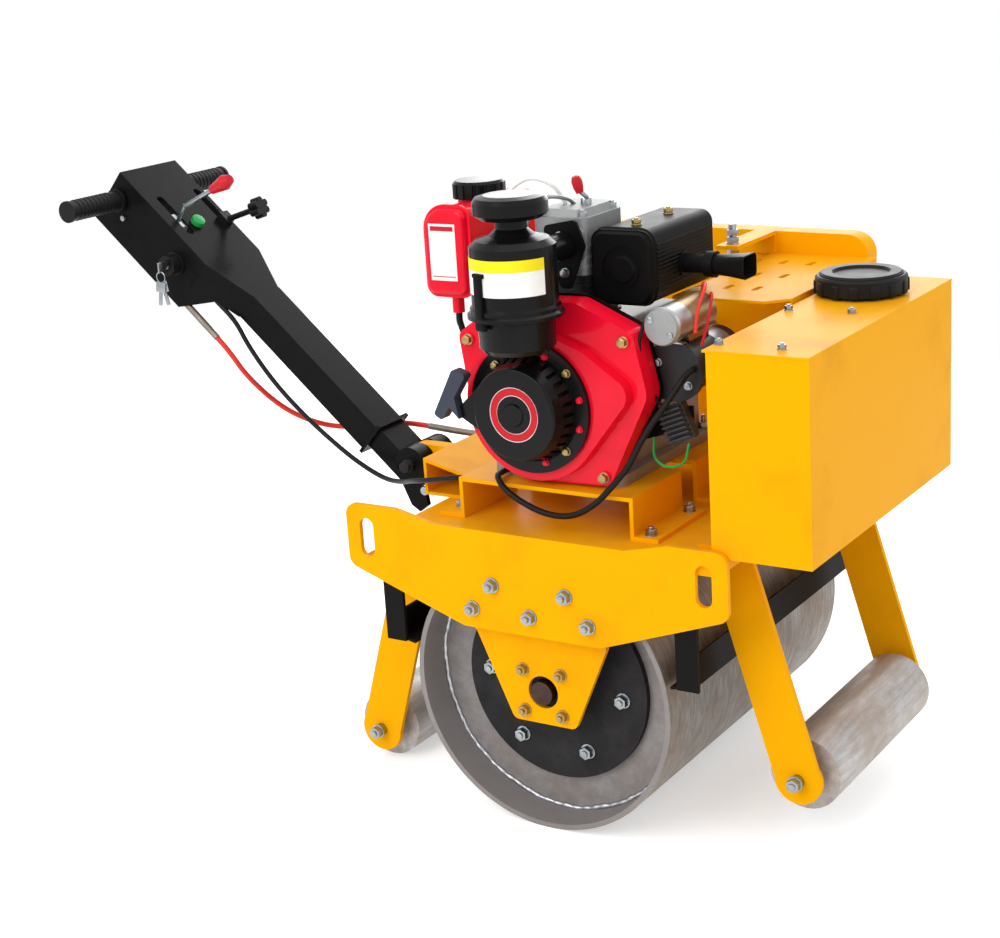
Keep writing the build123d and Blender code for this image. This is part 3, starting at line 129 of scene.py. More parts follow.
class RollerColours(bpy.types.PropertyGroup):
    """Colours of the machine's finishes"""

    frame_yellow: colour_property("Frame", "Enamel on the frame, legs and water tank", "#F8AE04")
    engine_red: colour_property("Engine", "Enamel on the fan housing and the fuel tank", "#EE102E")
    handle_black: colour_property("Handle", "Satin paint on the handle and console", "#0D0D0E")
    sheath_red: colour_property("Throttle cable", "Plastic sheath of the throttle cable", "#D8382C")


def length_property(name, description, default, low, high):
    """A length in metres that a user sets."""
    return bpy.props.FloatProperty(
        name=name, description=description, default=default, min=low, max=high, unit="LENGTH"
    )


class RollerSizes(bpy.types.PropertyGroup):
    """Sizes of the small fastenings"""

    bolt_across: length_property("Nut", "Width across the flats of the frame's nuts", 0.0178, 0.01, 0.03)
    bead: length_property("Weld bead", "Radius of the weld in each end of the drum", 0.0052, 0.001, 0.01)


# ---- finishes
def add_node(tree, kind, inputs=None, **settings):
    """Adds a shader node with its settings; an input is a number, a hex colour or what feeds it."""
    node = tree.nodes.new("ShaderNode" + kind)
    for name, value in settings.items():
        setattr(node, name, value)
    for name, value in (inputs or {}).items():
        if isinstance(value, bpy.types.Node):
            value = value.outputs[0]
        if isinstance(value, bpy.types.NodeSocket):
            tree.links.new(value, node.inputs[name])
        else:
            node.inputs[name].default_value = linear(value) if isinstance(value, str) else value
    return node


def blank_finish(name):
    """A new material with nothing in it, and the object coordinates that its patterns read."""
    finish = bpy.data.materials.new(name)
    finish.use_nodes = True
    finish.node_tree.nodes.clear()
    place = add_node(finish.node_tree, "TexCoord").outputs["Object"]
    return finish, finish.node_tree, place


def close_finish(finish, shader):
    """Joins a shader to the material's output, and hands the material back."""
    add_node(finish.node_tree, "OutputMaterial", {"Surface": shader})
    return finish


def enamel(name, colour, dusty, coat=0.0, top_face_brown=None):
    """Sprayed enamel on steel: glossy, a faint orange peel, dust dulling it in broad soft patches."""
    finish, tree, place = blank_finish(name)
    # patches a hand wide, where handling and dust change the gloss
    patches = add_node(tree, "TexNoise", {"Vector": place, "Scale": 9.0, "Detail": 5.0, "Roughness": 0.6})
    dust = add_node(tree, "ValToRGB", {"Fac": patches})
    for stop, level in zip(dust.color_ramp.elements, (0.5, 0.8)):
        stop.position = level
    tint = add_node(tree, "MixRGB", {"Fac": dust, "Color1": colour, "Color2": dusty})
    if top_face_brown:
        # faces that look up turn darker and browner in patches
        way = add_node(tree, "SeparateXYZ", {"Vector": add_node(tree, "TexCoord").outputs["Normal"]})
        level = add_node(tree, "MapRange", {"Value": way.outputs["Z"], "From Min": 0.8, "To Max": 0.42})
        top_face_share = add_node(tree, "Math", {0: level, 1: patches}, operation="MULTIPLY")
        tint = add_node(tree, "MixRGB", {"Fac": top_face_share, "Color1": tint, "Color2": top_face_brown})
    gloss = add_node(tree, "MapRange", {"Value": patches, "To Min": 0.26, "To Max": 0.36})
    # orange peel about 4 mm across
    peel = add_node(tree, "TexNoise", {"Vector": place, "Scale": 240.0, "Detail": 2.0})
    bump = add_node(tree, "Bump", {"Height": peel, "Strength": 0.05, "Distance": 0.0006})
    # a low index keeps the white studio from paling the colour at slanting views
    looks = {"Base Color": tint, "Roughness": gloss, "Normal": bump, "IOR": 1.14}
    looks |= {"Specular IOR Level": 0.2, "Coat Weight": coat, "Coat Roughness": 0.07}
    return close_finish(finish, add_node(tree, "BsdfPrincipled", looks))


def satin_black(name, colour, roughness, grain):
    """Black stoving paint or powder coat: even, half matt, with a fine grain that breaks its shine."""
    finish, tree, place = blank_finish(name)
    # scuffs about 45 mm across
    scuffs = add_node(tree, "TexNoise", {"Vector": place, "Scale": 22.0, "Detail": 6.0, "Roughness": 0.65})
    tint = add_node(tree, "MixRGB", {"Fac": scuffs, "Color1": colour, "Color2": "#191817"})
    sheen = add_node(
        tree, "MapRange", {"Value": scuffs, "To Min": roughness - 0.08, "To Max": roughness + 0.12}
    )
    grit = add_node(tree, "TexNoise", {"Vector": place, "Scale": grain, "Detail": 2.0})
    bump = add_node(tree, "Bump", {"Height": grit, "Strength": 0.12, "Distance": 0.0005})
    looks = {"Base Color": tint, "Roughness": sheen, "Normal": bump, "Specular IOR Level": 0.05}
    return close_finish(finish, add_node(tree, "BsdfPrincipled", looks))


# depth in metres of the drum's outer face that shows bare steel and not primer
SKIN = 0.0012


def rolled_steel(name, light, dark, rust, metallic, stretch, inner=None):
    """Hot-rolled steel run on stone: dull grey with brown bloom, scratches round the roll and pits."""
    finish, tree, place = blank_finish(name)
    # scratches are long where the stretch is small: round the drum, and along the guide rollers
    lie = add_node(tree, "Mapping", {"Vector": place, "Scale": stretch})
    streaks = add_node(tree, "TexNoise", {"Vector": lie, "Scale": 34.0, "Detail": 8.0, "Roughness": 0.7})
    bare = add_node(tree, "ValToRGB", {"Fac": streaks})
    # rust bloom in patches about 80 mm across
    bloom = add_node(tree, "TexNoise", {"Vector": place, "Scale": 12.0, "Detail": 9.0, "Roughness": 0.72})
    share = add_node(tree, "ValToRGB", {"Fac": bloom})
    # columns: ramp, place and colour of its low end, then of its high end
    ramps = [
        (bare, (0.3, linear(dark)), (0.68, linear(light))),
        (share, (0.42, (0, 0, 0, 1)), (0.66, (0.75, 0.75, 0.75, 1))),
    ]
    for ramp, *ends in ramps:
        for stop, (level, shade) in zip(ramp.color_ramp.elements, ends):
            stop.position = level
            stop.color = shade
    tint = add_node(tree, "MixRGB", {"Fac": share, "Color1": bare, "Color2": rust})
    shine = add_node(tree, "MapRange", {"Value": bloom, "To Min": 0.36, "To Max": 0.7})
    span = {"Value": bloom, "From Min": 0.35, "From Max": 0.65, "To Min": metallic, "To Max": 0.15}
    metal = add_node(tree, "MapRange", span)
    bump = add_node(tree, "Bump", {"Height": streaks, "Strength": 0.35, "Distance": 0.0008})
    if inner:
        # inside the roll the steel was never run on the ground: grey primer
        centring = {"Vector": place, "Location": (-AXLE.x, 0, -AXLE.z), "Scale": (1, 0, 1)}
        middle = add_node(tree, "Mapping", centring)
        radius = add_node(tree, "VectorMath", {"Vector": middle}, operation="LENGTH").outputs["Value"]
        outside = add_node(tree, "Math", {0: radius, 1: AXLE.z - SKIN}, operation="GREATER_THAN")
        primer = add_node(tree, "MixRGB", {"Fac": bloom, "Color1": inner, "Color2": "#7A736F"})
        tint = add_node(tree, "MixRGB", {"Fac": outside, "Color1": primer, "Color2": tint})
        metal = add_node(tree, "Math", {0: metal, 1: outside}, operation="MULTIPLY")
    looks = {"Base Color": tint, "Metallic": metal, "Roughness": shine, "Normal": bump}
    return close_finish(finish, add_node(tree, "BsdfPrincipled", looks))


def plated_metal(name, colour, stain, roughness):
    """Zinc plating or bare machined metal: bright, with cloudy stains where it has been handled."""
    finish, tree, place = blank_finish(name)
    # clouds about 17 mm across
    clouds = add_node(tree, "TexNoise", {"Vector": place, "Scale": 60.0, "Detail": 5.0, "Roughness": 0.6})
    tint = add_node(tree, "MixRGB", {"Fac": clouds, "Color1": colour, "Color2": stain})
    shine = add_node(
        tree, "MapRange", {"Value": clouds, "To Min": roughness - 0.1, "To Max": roughness + 0.15}
    )
    looks = {"Base Color": tint, "Roughness": shine, "Metallic": 1.0}
    return close_finish(finish, add_node(tree, "BsdfPrincipled", looks))


def cast_metal(name, colour, shade, metallic, grain):
    """As-cast metal: matt and sandy, darker in oil stains, with the mould's grain in the light."""
    finish, tree, place = blank_finish(name)
    sand = add_node(tree, "TexNoise", {"Vector": place, "Scale": grain, "Detail": 6.0, "Roughness": 0.7})
    # oil stains about 70 mm across
    oil = add_node(tree, "TexNoise", {"Vector": place, "Scale": 14.0, "Detail": 6.0, "Roughness": 0.65})
    tint = add_node(tree, "MixRGB", {"Fac": oil, "Color1": colour, "Color2": shade})
    bump = add_node(tree, "Bump", {"Height": sand, "Strength": 0.5, "Distance": 0.0007})
    looks = {"Base Color": tint, "Normal": bump, "Metallic": metallic, "Roughness": 0.52}
    return close_finish(finish, add_node(tree, "BsdfPrincipled", looks))


def moulded_plastic(name, colour, roughness, grain_depth):
    """Injection-moulded plastic or rubber: even colour, low sheen, the tool's fine spark grain."""
    finish, tree, place = blank_finish(name)
    # wear in patches about 33 mm across
    wear = add_node(tree, "TexNoise", {"Vector": place, "Scale": 30.0, "Detail": 4.0})
    sheen = add_node(
        tree, "MapRange", {"Value": wear, "To Min": roughness - 0.06, "To Max": roughness + 0.1}
    )
    # spark grain about 1.2 mm across, coarser than the real one so that it shows
    grain = add_node(tree, "TexNoise", {"Vector": place, "Scale": 800.0, "Detail": 1.0})
    bump = add_node(tree, "Bump", {"Height": grain, "Strength": grain_depth, "Distance": 0.0003})
    lift = add_node(tree, "MapRange", {"Value": wear, "To Min": 0.85, "To Max": 1.2})
    tint = add_node(tree, "HueSaturation", {"Color": colour, "Value": lift})
    looks = {"Base Color": tint, "Roughness": sheen, "Normal": bump, "Specular IOR Level": 0.16}
    return close_finish(finish, add_node(tree, "BsdfPrincipled", looks))


def starter_coat(name):
    """The starter: black motor below; above it a gold-passivated solenoid with an aluminium nose."""
    finish, tree, place = blank_finish(name)
    spot = add_node(tree, "SeparateXYZ", {"Vector": place})
    upper = add_node(tree, "Math", {0: spot.outputs["Z"], 1: SOLENOID_SPLIT}, operation="GREATER_THAN")
    nose = add_node(tree, "Math", {0: spot.outputs["Y"], 1: NOSE_SPLIT}, operation="LESS_THAN")
    # clouds about 14 mm across
    clouds = add_node(tree, "TexNoise", {"Vector": place, "Scale": 70.0, "Detail": 6.0})
    solenoid = add_node(tree, "MixRGB", {"Fac": nose, "Color1": "#B4956A", "Color2": "#BDBFBF"})
    whole = add_node(tree, "MixRGB", {"Fac": upper, "Color1": "#1B1B1C", "Color2": solenoid})
    tone = add_node(tree, "MapRange", {"Value": clouds, "To Min": 0.7, "To Max": 1.15})
    tint = add_node(tree, "HueSaturation", {"Color": whole, "Value": tone})
    looks = {"Base Color": tint, "Metallic": upper, "Roughness": 0.36, "Specular IOR Level": 0.3}
    return close_finish(finish, add_node(tree, "BsdfPrincipled", looks))


def all_finishes():
    """Every finish of the machine by its plain name."""
    colours = bpy.context.scene.roller_colours
    return {
        "yellow enamel": enamel("Yellow enamel", colours.frame_yellow, "#EBA00A", top_face_brown="#9C6A2C"),
        "red enamel": enamel("Red enamel", colours.engine_red, "#D20D28", coat=0.35),
        "handle paint": satin_black("Satin black paint", colours.handle_black, 0.27, 420.0),
        "muffler paint": satin_black("Heat-proof black", "#141415", 0.36, 260.0),
        "hub paint": satin_black("Dull black on casting", "#3E3D40", 0.5, 120.0),
        "drum steel": rolled_steel(
            "Rolled drum steel", "#A7A39E", "#66625D", "#7C6450", 0.6, (1.0, 7.0, 1.0), "#918C8C"
        ),
        "roller tube": rolled_steel(
            "Worn roller tube", "#C6C4C3", "#9E9B9A", "#A39282", 0.75, (3.5, 0.45, 3.5)
        ),
        "end primer": rolled_steel(
            "Grey primer on plate", "#9A9595", "#807B7A", "#7E746C", 0.1, (1.5, 1.5, 1.5)
        ),
        "conduit braid": plated_metal("Braided steel conduit", "#9C9187", "#6F665E", 0.5),
        "zinc": plated_metal("Zinc plating", "#B4BABD", "#7F868A", 0.3),
        "yellow zinc": plated_metal("Yellow zinc plating", "#B9A26B", "#8E7B50", 0.34),
        "axle steel": plated_metal("Blued axle steel", "#57443C", "#33282A", 0.4),
        "cast aluminium": cast_metal("Cast aluminium", "#A9ABAB", "#7B7D7C", 0.45, 380.0),
        "fin aluminium": cast_metal("Grey-lacquered fins", "#4B4D4F", "#2E2F31", 0.4, 260.0),
        "cast iron": cast_metal("Painted cast iron", "#2F3030", "#1C1C1D", 0.2, 300.0),
        "starter coat": starter_coat("Starter in black, gold and aluminium"),
        "black plastic": moulded_plastic("Black moulded plastic", "#101011", 0.2, 0.03),
        "cap plastic": moulded_plastic("Black cap plastic", "#161616", 0.42, 0.12),
        "grey plastic": moulded_plastic("Grey moulded plastic", "#3C404D", 0.45, 0.08),
        "rubber": moulded_plastic("Black rubber", "#161617", 0.45, 0.15),
        "red sheath": moulded_plastic("Red cable sheath", colours.sheath_red, 0.36, 0.03),
        "red plastic": moulded_plastic("Red moulded plastic", "#C3202B", 0.3, 0.03),
        "label white": moulded_plastic("White label film", "#F1F1EE", 0.4, 0.0),
        "label yellow": moulded_plastic("Yellow label film", "#F4DF1C", 0.4, 0.0),
        "green plastic": moulded_plastic("Green moulded plastic", "#1E9A4A", 0.3, 0.03),
        "weld": plated_metal("Weld bead", "#CFCFD2", "#97979E", 0.36),
    }


# columns: finish, the CAD nodes that carry it
NODE_FINISHES = [
    (
        "yellow enamel",
        "side_plate_near side_plate_far deck_plate hanger_near hanger_far engine_mounts front_legs "
        "rear_legs water_tank tank_lid tank_brackets belt_guard guard_spacers slotted_cover "
        "handle_crossmember handle_lug",
    ),
    ("red enamel", "blower_housing fuel_tank"),
    ("handle paint", "handle_arm handle_knuckles console handlebar engine_brackets fan_shroud"),
    ("muffler paint", "muffler exhaust_outlet front_scraper rear_scraper"),
    ("hub paint", "drum_hubs drum_bearings"),
    ("drum steel", "drum_shell"),
    ("roller tube", "front_roller rear_roller"),
    ("end primer", "drum_end_plates"),
    ("zinc", "roller_axles handle_pins throttle_lever"),
    ("conduit braid", "conduit_front conduit_rear"),
    ("axle steel", "drum_axle"),
    ("cast aluminium", "engine_block cylinder_head"),
    ("fin aluminium", "voltage_regulator"),
    ("starter coat", "starter_motor"),
    ("cast iron", "engine_cylinder"),
    ("black plastic", "air_cleaner precleaner fuel_cap recoil_starter intake_elbow"),
    ("cap plastic", "tank_cap star_knob key_switch"),
    ("grey plastic", "starter_grip"),
    ("rubber", "grips black_cable engine_cable"),
    ("red sheath", "throttle_cable"),
    ("red plastic", "lever_grip"),
]
FINISHES = {}


class ROLLER_OT_finishes(bpy.types.Operator):
    """Gives every CAD piece its finish"""

    bl_idname = "roller.finishes"
    bl_label = "Finishes"

    def execute(self, context):
        FINISHES.update(all_finishes())
        left = set(nodes)
        for finish, names in NODE_FINISHES:
            for name in names.split():
                slots = nodes[name].data.materials
                slots.clear()
                slots.append(FINISHES[finish])
                left.discard(name)
        if left:
            raise RuntimeError(f"no finish is given for {sorted(left)}")
        return {"FINISHED"}


# ---- camera, floor and light
# where the camera stands and looks, its lens in millimetres and its roll in degrees
CAMERA_PLACE = at(1413.6, -2512.5, 1334.9)
CAMERA_AIM = at(-210.8, -37.6, 460.9)
CAMERA_LENS = 70.41
CAMERA_ROLL = -3.676
FLOOR_REACH = 2.6

# columns: place, size in metres and power in watts of each lamp; they all look at LAMP_AIM
LAMPS = {
    "key_lamp": ((-700, -2900, 2300), 2.6, 52),
    "side_lamp": ((2900, -900, 1900), 2.6, 9),
    "top_lamp": ((200, 300, 3200), 3.0, 20),
    "back_lamp": ((-900, 2900, 1900), 2.6, 50),
}
LAMP_AIM = at(0, 0, 500)


def aimed(place, aim):
    """The turn of a camera or lamp that stands at a place and looks at another."""
    return (aim - place).to_track_quat("-Z", "Y")


def place_object(name, data):
    """A new object at the origin, linked to the scene."""
    thing = bpy.data.objects.new(name, data)
    bpy.context.scene.collection.objects.link(thing)
    return thing


class ROLLER_OT_stage(bpy.types.Operator):
    """Adds the camera, the pale floor, the lamps and the world"""

    bl_idname = "roller.stage"
    bl_label = "Stage"

    def execute(self, context):
        scene = context.scene
        lens = bpy.data.cameras.new("camera")
        lens.sensor_width = 36
        lens.lens = CAMERA_LENS
        camera = place_object("camera", lens)
        roll = Matrix.Rotation(math.radians(CAMERA_ROLL), 3, "Z")
        turn = aimed(CAMERA_PLACE, CAMERA_AIM).to_matrix() @ roll
        camera.matrix_world = Matrix.LocRotScale(CAMERA_PLACE, turn, None)
        scene.camera = camera

        floor = bmesh.new()
        bmesh.ops.create_grid(floor, x_segments=1, y_segments=1, size=FLOOR_REACH)
        sheet = bpy.data.meshes.new("floor")
        floor.to_mesh(sheet)
        floor.free()
        ground = place_object("floor", sheet)
        sheet.materials.append(self.pale_paper())

        for name, (spot, size, power) in LAMPS.items():
            bulb = bpy.data.lights.new(name, "AREA")
            bulb.shape = "DISK"
            bulb.size = size
            bulb.energy = power
            lamp = place_object(name, bulb)
            lamp.location = at(*spot)
            lamp.rotation_euler = aimed(lamp.location, LAMP_AIM).to_euler()

        world = bpy.data.worlds.new("studio")
        world.use_nodes = True
        tree = world.node_tree
        tree.nodes.clear()
        level = add_node(tree, "MapRange", {"Value": self.seen_rays(tree), "To Min": 0.78, "To Max": 1.0})
        sky = add_node(tree, "Background", {"Color": (1, 1, 1, 1), "Strength": level})
        add_node(tree, "OutputWorld", {"Surface": sky})
        scene.world = world
        scene.view_settings.view_transform = "Standard"
        return {"FINISHED"}

    def seen_rays(self, tree):
        """One for rays from the camera or by way of a mirror or glass, and nought for light."""
        path = add_node(tree, "LightPath").outputs
        seen = path["Is Camera Ray"]
        for kind in ("Is Glossy Ray", "Is Transmission Ray"):
            seen = add_node(tree, "Math", {0: seen, 1: path[kind]}, operation="MAXIMUM")
        return seen

    def pale_paper(self):
        """White paper sweep: matt, and lit a little from below so that it shows white."""
        finish, tree, _ = blank_finish("White paper sweep")
        glow = add_node(tree, "Math", {0: self.seen_rays(tree), 1: 0.42}, operation="MULTIPLY")
        looks = {"Base Color": "#F2F2F2", "Roughness": 0.9, "Specular IOR Level": 0.1}
        looks |= {"Emission Color": (1, 1, 1, 1), "Emission Strength": glow}
        return close_finish(finish, add_node(tree, "BsdfPrincipled", looks))


# ---- making a piece
def shape_object(name, shape, finish, smooth):
    """Turns a bmesh into an object with a finish; edges sharper than so many degrees stay sharp."""
    bmesh.ops.recalc_face_normals(shape, faces=shape.faces)
    mesh = bpy.data.meshes.new(name)
    shape.to_mesh(mesh)
    shape.free()
    mesh.materials.append(FINISHES[finish])
    mesh.shade_smooth()
    mesh.set_sharp_from_angle(angle=math.radians(smooth))
    return place_object(name, mesh)


def finish_piece(name, shape, finish, body="frame", smooth=35):
    """Turns a bmesh into an object with a finish that rides on a body."""
    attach(shape_object(name, shape, finish, smooth), body)


def shift(x, y, z):
    """The matrix of a move, in metres."""
    return Matrix.Translation((x, y, z))


def facing(direction, place):
    """A matrix that stands something made along +Z at a place, pointing in a direction."""
    return Matrix.Translation(place) @ Vector(direction).to_track_quat("Z", "Y").to_matrix().to_4x4()


def edges_of(made):
    """The edges of what an operator has made, each once and in the same order in every run."""
    return list(dict.fromkeys(e for v in made["verts"] for e in v.link_edges))


def bevel(shape, edges, width, steps):
    """Rounds edges of a bmesh."""
    bmesh.ops.bevel(
        shape, geom=edges, offset=width, segments=steps, profile=0.5, affect="EDGES", material=-1
    )


def add_disc(shape, radius, height, matrix, base=0.0, segments=32, edge=0.0):
    """Adds a disc standing on the plane of a matrix, with its top edge bevelled."""
    made = bmesh.ops.create_cone(
        shape, cap_ends=True, segments=segments, radius1=radius, radius2=radius, depth=height,
        matrix=matrix @ shift(0, 0, base + height / 2),
    )
    if edge:
        up = (matrix.to_3x3() @ Vector(UP)).normalized()
        top = matrix.translation + up * (base + height)
        rim = [e for e in edges_of(made) if all(abs((v.co - top).dot(up)) < 1e-6 for v in e.verts)]
        bevel(shape, rim, edge, 2)


# a bolt's parts as shares of the width across its flats
WASHER_RADIUS, WASHER_HEIGHT, WASHER_EDGE = 0.66, 0.11, 0.03
NUT_HEIGHT, NUT_EDGE = 0.55, 0.07
STUD_RADIUS, STUD_EDGE = 0.3, 0.3


def add_bolt(shape, place, direction, across, washer=True, stud=0.004):
    """Adds a washer, a nut or head with chamfered corners, and the rounded end of the bolt."""
    matrix = facing(direction, place)
    base = 0.0
    if washer:
        base = across * WASHER_HEIGHT
        add_disc(shape, across * WASHER_RADIUS, base, matrix, segments=28, edge=across * WASHER_EDGE)
    nut = across * NUT_HEIGHT
    add_disc(shape, across / math.sqrt(3), nut, matrix, base, segments=6, edge=across * NUT_EDGE)
    if stud:
        add_disc(shape, across * STUD_RADIUS, stud, matrix, base + nut, segments=20, edge=stud * STUD_EDGE)


def bolt_row(
    name, finish, across, way, places, node=None, away=0.02, beside=(0, 0, 0), stud=0.004,
    washer=True, body="frame",
):
    """One piece of like bolts, at their places or where these land on a CAD node."""
    shape = bmesh.new()
    for place in places:
        spot = land(node, place, way, away, beside) if node else place
        add_bolt(shape, spot, way, across, washer, stud)
    finish_piece(name, shape, finish, body)


def add_box(shape, size, matrix, edge=0.0):
    """Adds a block centred on a matrix, with all its edges bevelled."""
    made = bmesh.ops.create_cube(shape, size=1.0, matrix=matrix @ Matrix.Diagonal((*size, 1)))
    if edge:
        bevel(shape, edges_of(made), edge, 3)


def land(node, place, outward, away, beside=(0, 0, 0)):
    """Where a line from outside through a place meets a CAD node, felt for beside any bolt hole."""
    way = Vector(outward).normalized()
    aside = Vector(beside)
    hit, spot, _, _ = nodes[node].ray_cast(place + aside + way * away, -way)
    if not hit:
        raise RuntimeError(f"nothing of {node} lies at {place}")
    return spot - aside


def band(inner, outer, low, high):
    """The outline of a flat ring or hoop, for a lathe."""
    return [(inner, low), (outer, low), (outer, high), (inner, high)]


def add_lathe(shape, profile, matrix, segments=48, sweep=360):
    """Turns a closed outline of radius and height, in metres, round the Z of a matrix from its X."""
    verts = [shape.verts.new(matrix @ Vector((radius, 0, height))) for radius, height in profile]
    edges = [shape.edges.new((a, b)) for a, b in zip(verts, verts[1:] + verts[:1])]
    bmesh.ops.spin(
        shape, geom=verts + edges, cent=matrix.translation, axis=matrix.to_3x3() @ Vector(UP),
        angle=math.radians(sweep), steps=segments, use_merge=sweep == 360,
    )
    if sweep < 360:
        bmesh.ops.holes_fill(shape, edges=shape.edges)
    if any(radius == 0 for radius, _ in profile):
        # the points on the axis meet in its pole
        bmesh.ops.remove_doubles(shape, verts=shape.verts, dist=1e-5)


def lathe_piece(name, finish, profile, matrix, segments, sweep=360):
    """One piece of the frame from a single turned outline."""
    shape = bmesh.new()
    add_lathe(shape, profile, matrix, segments, sweep)
    finish_piece(name, shape, finish)


def smooth_line(points, steps=8):
    """Points along a curve that passes through the given places."""
    ends = [points[0] * 2 - points[1], *points, points[-1] * 2 - points[-2]]
    line = []
    for a, b, c, d in zip(ends, ends[1:], ends[2:], ends[3:]):
        bend, twist = 2 * a - 5 * b + 4 * c - d, 3 * b - a - 3 * c + d
        for i in range(steps):
            t = i / steps
            line.append(0.5 * (2 * b + (c - a) * t + bend * t**2 + twist * t**3))
    return [*line, points[-1].copy()]


def add_tube(shape, path, radius, sides=14, closed=False):
    """Adds a tube round a line of points; the radius is one number or one for each point."""
    radii = radius if isinstance(radius, list) else [radius] * len(path)
    last = len(path) - 1
    side_way = (path[1] - path[0]).normalized().orthogonal().normalized()
    rings = []
    for i, place in enumerate(path):
        before, after = (i - 1, (i + 1) % len(path)) if closed else (max(i - 1, 0), min(i + 1, last))
        ahead = (path[after] - path[before]).normalized()
        side_way = (side_way - ahead * side_way.dot(ahead)).normalized()
        turn = Matrix((side_way, ahead.cross(side_way), ahead)).transposed().to_4x4()
        circle = bmesh.ops.create_circle(
            shape, cap_ends=not closed and i in (0, last), segments=sides, radius=radii[i],
            matrix=Matrix.Translation(place) @ turn,
        )
        rings.append(circle["verts"])
    for low, high in zip(rings, rings[1:] + (rings[:1] if closed else [])):
        for j in range(sides):
            shape.faces.new((low[j], low[(j + 1) % sides], high[(j + 1) % sides], high[j]))


# ---- cables
# each route repeats the CAD model's points, millimetres from the axle
BLACK_CABLE = [
    (-805.87, -47, 758.48), (-780.4, -47, 735.9), (-761.6, -45, 705.9), (-718, -45, 671),
    (-694, -45, 626), (-642, -46, 564), (-576, -48, 509), (-502, -54, 463),
    (-453, -64, 444), (-401, -80, 434), (-338, -120, 449), (-300, -156, 466),
    (-262, -184, 478), (-216, -196, 489), (-174, -204, 500), (-148, -204, 500),
]
THROTTLE_CABLE = [
    (-747, -61.5, 642), (-724.7, -61.5, 621.9), (-700, -50, 575), (-667, -10, 516),
    (-626, 15, 488), (-588, 45, 472), (-530, 58, 479), (-465, 60, 490.1),
    (-409, 60, 487),
]
ENGINE_CABLE = [
    (-86, -206, 522), (-86, -226, 522), (-80, -246, 524), (-63, -261, 514),
    (-35, -264, 497), (9, -260, 479), (53, -261, 481), (90, -259, 503),
    (117, -256, 532), (139, -247, 560), (152, -238, 590), (167, -229, 618),
    (186, -222, 645), (205, -214, 675), (213, -203, 690), (213, -184, 690),
]
# columns: route, diameter and length in metres, finish, whether it crosses the handle's hinge
CABLES = {
    "black_cable": (BLACK_CABLE, 0.008, 0.834, "rubber", True),
    "throttle_cable": (THROTTLE_CABLE, 0.009, 0.448, "red sheath", True),
    "engine_cable": (ENGINE_CABLE, 0.009, 0.481, "rubber", False),
}


def route_curve(name, points):
    """A NURBS curve whose control points are the route's points."""
    curve = bpy.data.curves.new(name, "CURVE")
    curve.dimensions = "3D"
    curve.resolution_u = 12
    line = curve.splines.new("NURBS")
    line.points.add(len(points) - 1)
    for point, place in zip(line.points, points):
        point.co = (*at(*place), 1)
    line.order_u = 3
    line.use_endpoint_u = True
    return curve


class ROLLER_OT_cables(bpy.types.Operator):
    """Replaces the CAD cables with smooth ones; those that cross the handle's hinge are made as mesh tubes
    """

    bl_idname = "roller.cables"
    bl_label = "Cables"

    def execute(self, context):
        for node, (points, diameter, length, finish, bends) in CABLES.items():
            name = node + "_sheath"
            curve = route_curve(name, points)
            piece = place_object(name, curve)
            path = None
            if bends:
                # a mesh tube of its own, built round the curve's points
                context.view_layer.update()
                path = [v.co.copy() for v in bpy.data.meshes.new_from_object(piece).vertices]
                bpy.data.objects.remove(piece)
                shape = bmesh.new()
                add_tube(shape, path, diameter / 2)
                piece = shape_object(name, shape, finish, 50)
            else:
                curve.bevel_depth = diameter / 2
                curve.bevel_resolution = 5
                curve.use_fill_caps = True
                curve.materials.append(FINISHES[finish])
                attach(piece, "frame")
            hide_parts(node)
            if bends:
                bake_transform(piece)
        return {"FINISHED"}


# ---- bolts
# columns: fore of the axle, above ground
PLATE_BOLTS = [(-61, 378), (61, 378), (-96.5, 338), (96.5, 338), (0, 338)]
HOUSING_BOLTS = [(-127, 719), (128, 732), (88, 533)]
RECOIL_BOLTS = [(49, 687), (43, 574), (-65, 692)]
RECOIL_RIVETS = [(15, 708), (68, 650), (66, 608), (8, 554)]
BRACKET_BOLTS = [(-11, 859), (-4, 807)]
# columns: fore of the axle, left of the middle
FLANGE_BOLTS = [(-167, -213), (161, -229), (161, -112), (-167, -60), (161, -10), (161, 70)]
LID_BOLTS = [(291, -262), (381, -262), (292, -43), (384, -38)]
FOOT_BOLTS = [(-101, -191), (96, -191), (-101, 69), (96, 69)]
HEAD_NUTS = [(-55, -118), (-55, -32), (10, -118), (10, -32)]
TENSION_BOLT = (90, 200)
# widths of the smaller bolts as shares of the frame's nuts
BEARING_SHARE, FOOT_SHARE, LID_SHARE, TENSION_SHARE = 0.84, 0.8, 0.58, 0.9
# how far the bearing's bolts stand from its axle each way, and the ring of the hub's bolts
BEARING_REACH = (-32, 32)
HUB_RING, HUB_START = 111.4, -4.5
HUB_TURNS = [math.radians(HUB_START + 60 * i) for i in range(6)]
# how far beside a bolt its seat is felt for, in metres, to miss the hole
HOLE_CLEAR = 0.012
# depths from the middle of the side plates, hangers, hubs and the guide rollers' bolt heads
PLATE_OUT, HANGER_OUT, HUB_OUT, ROLLER_OUT = 306, 282, 243, 210


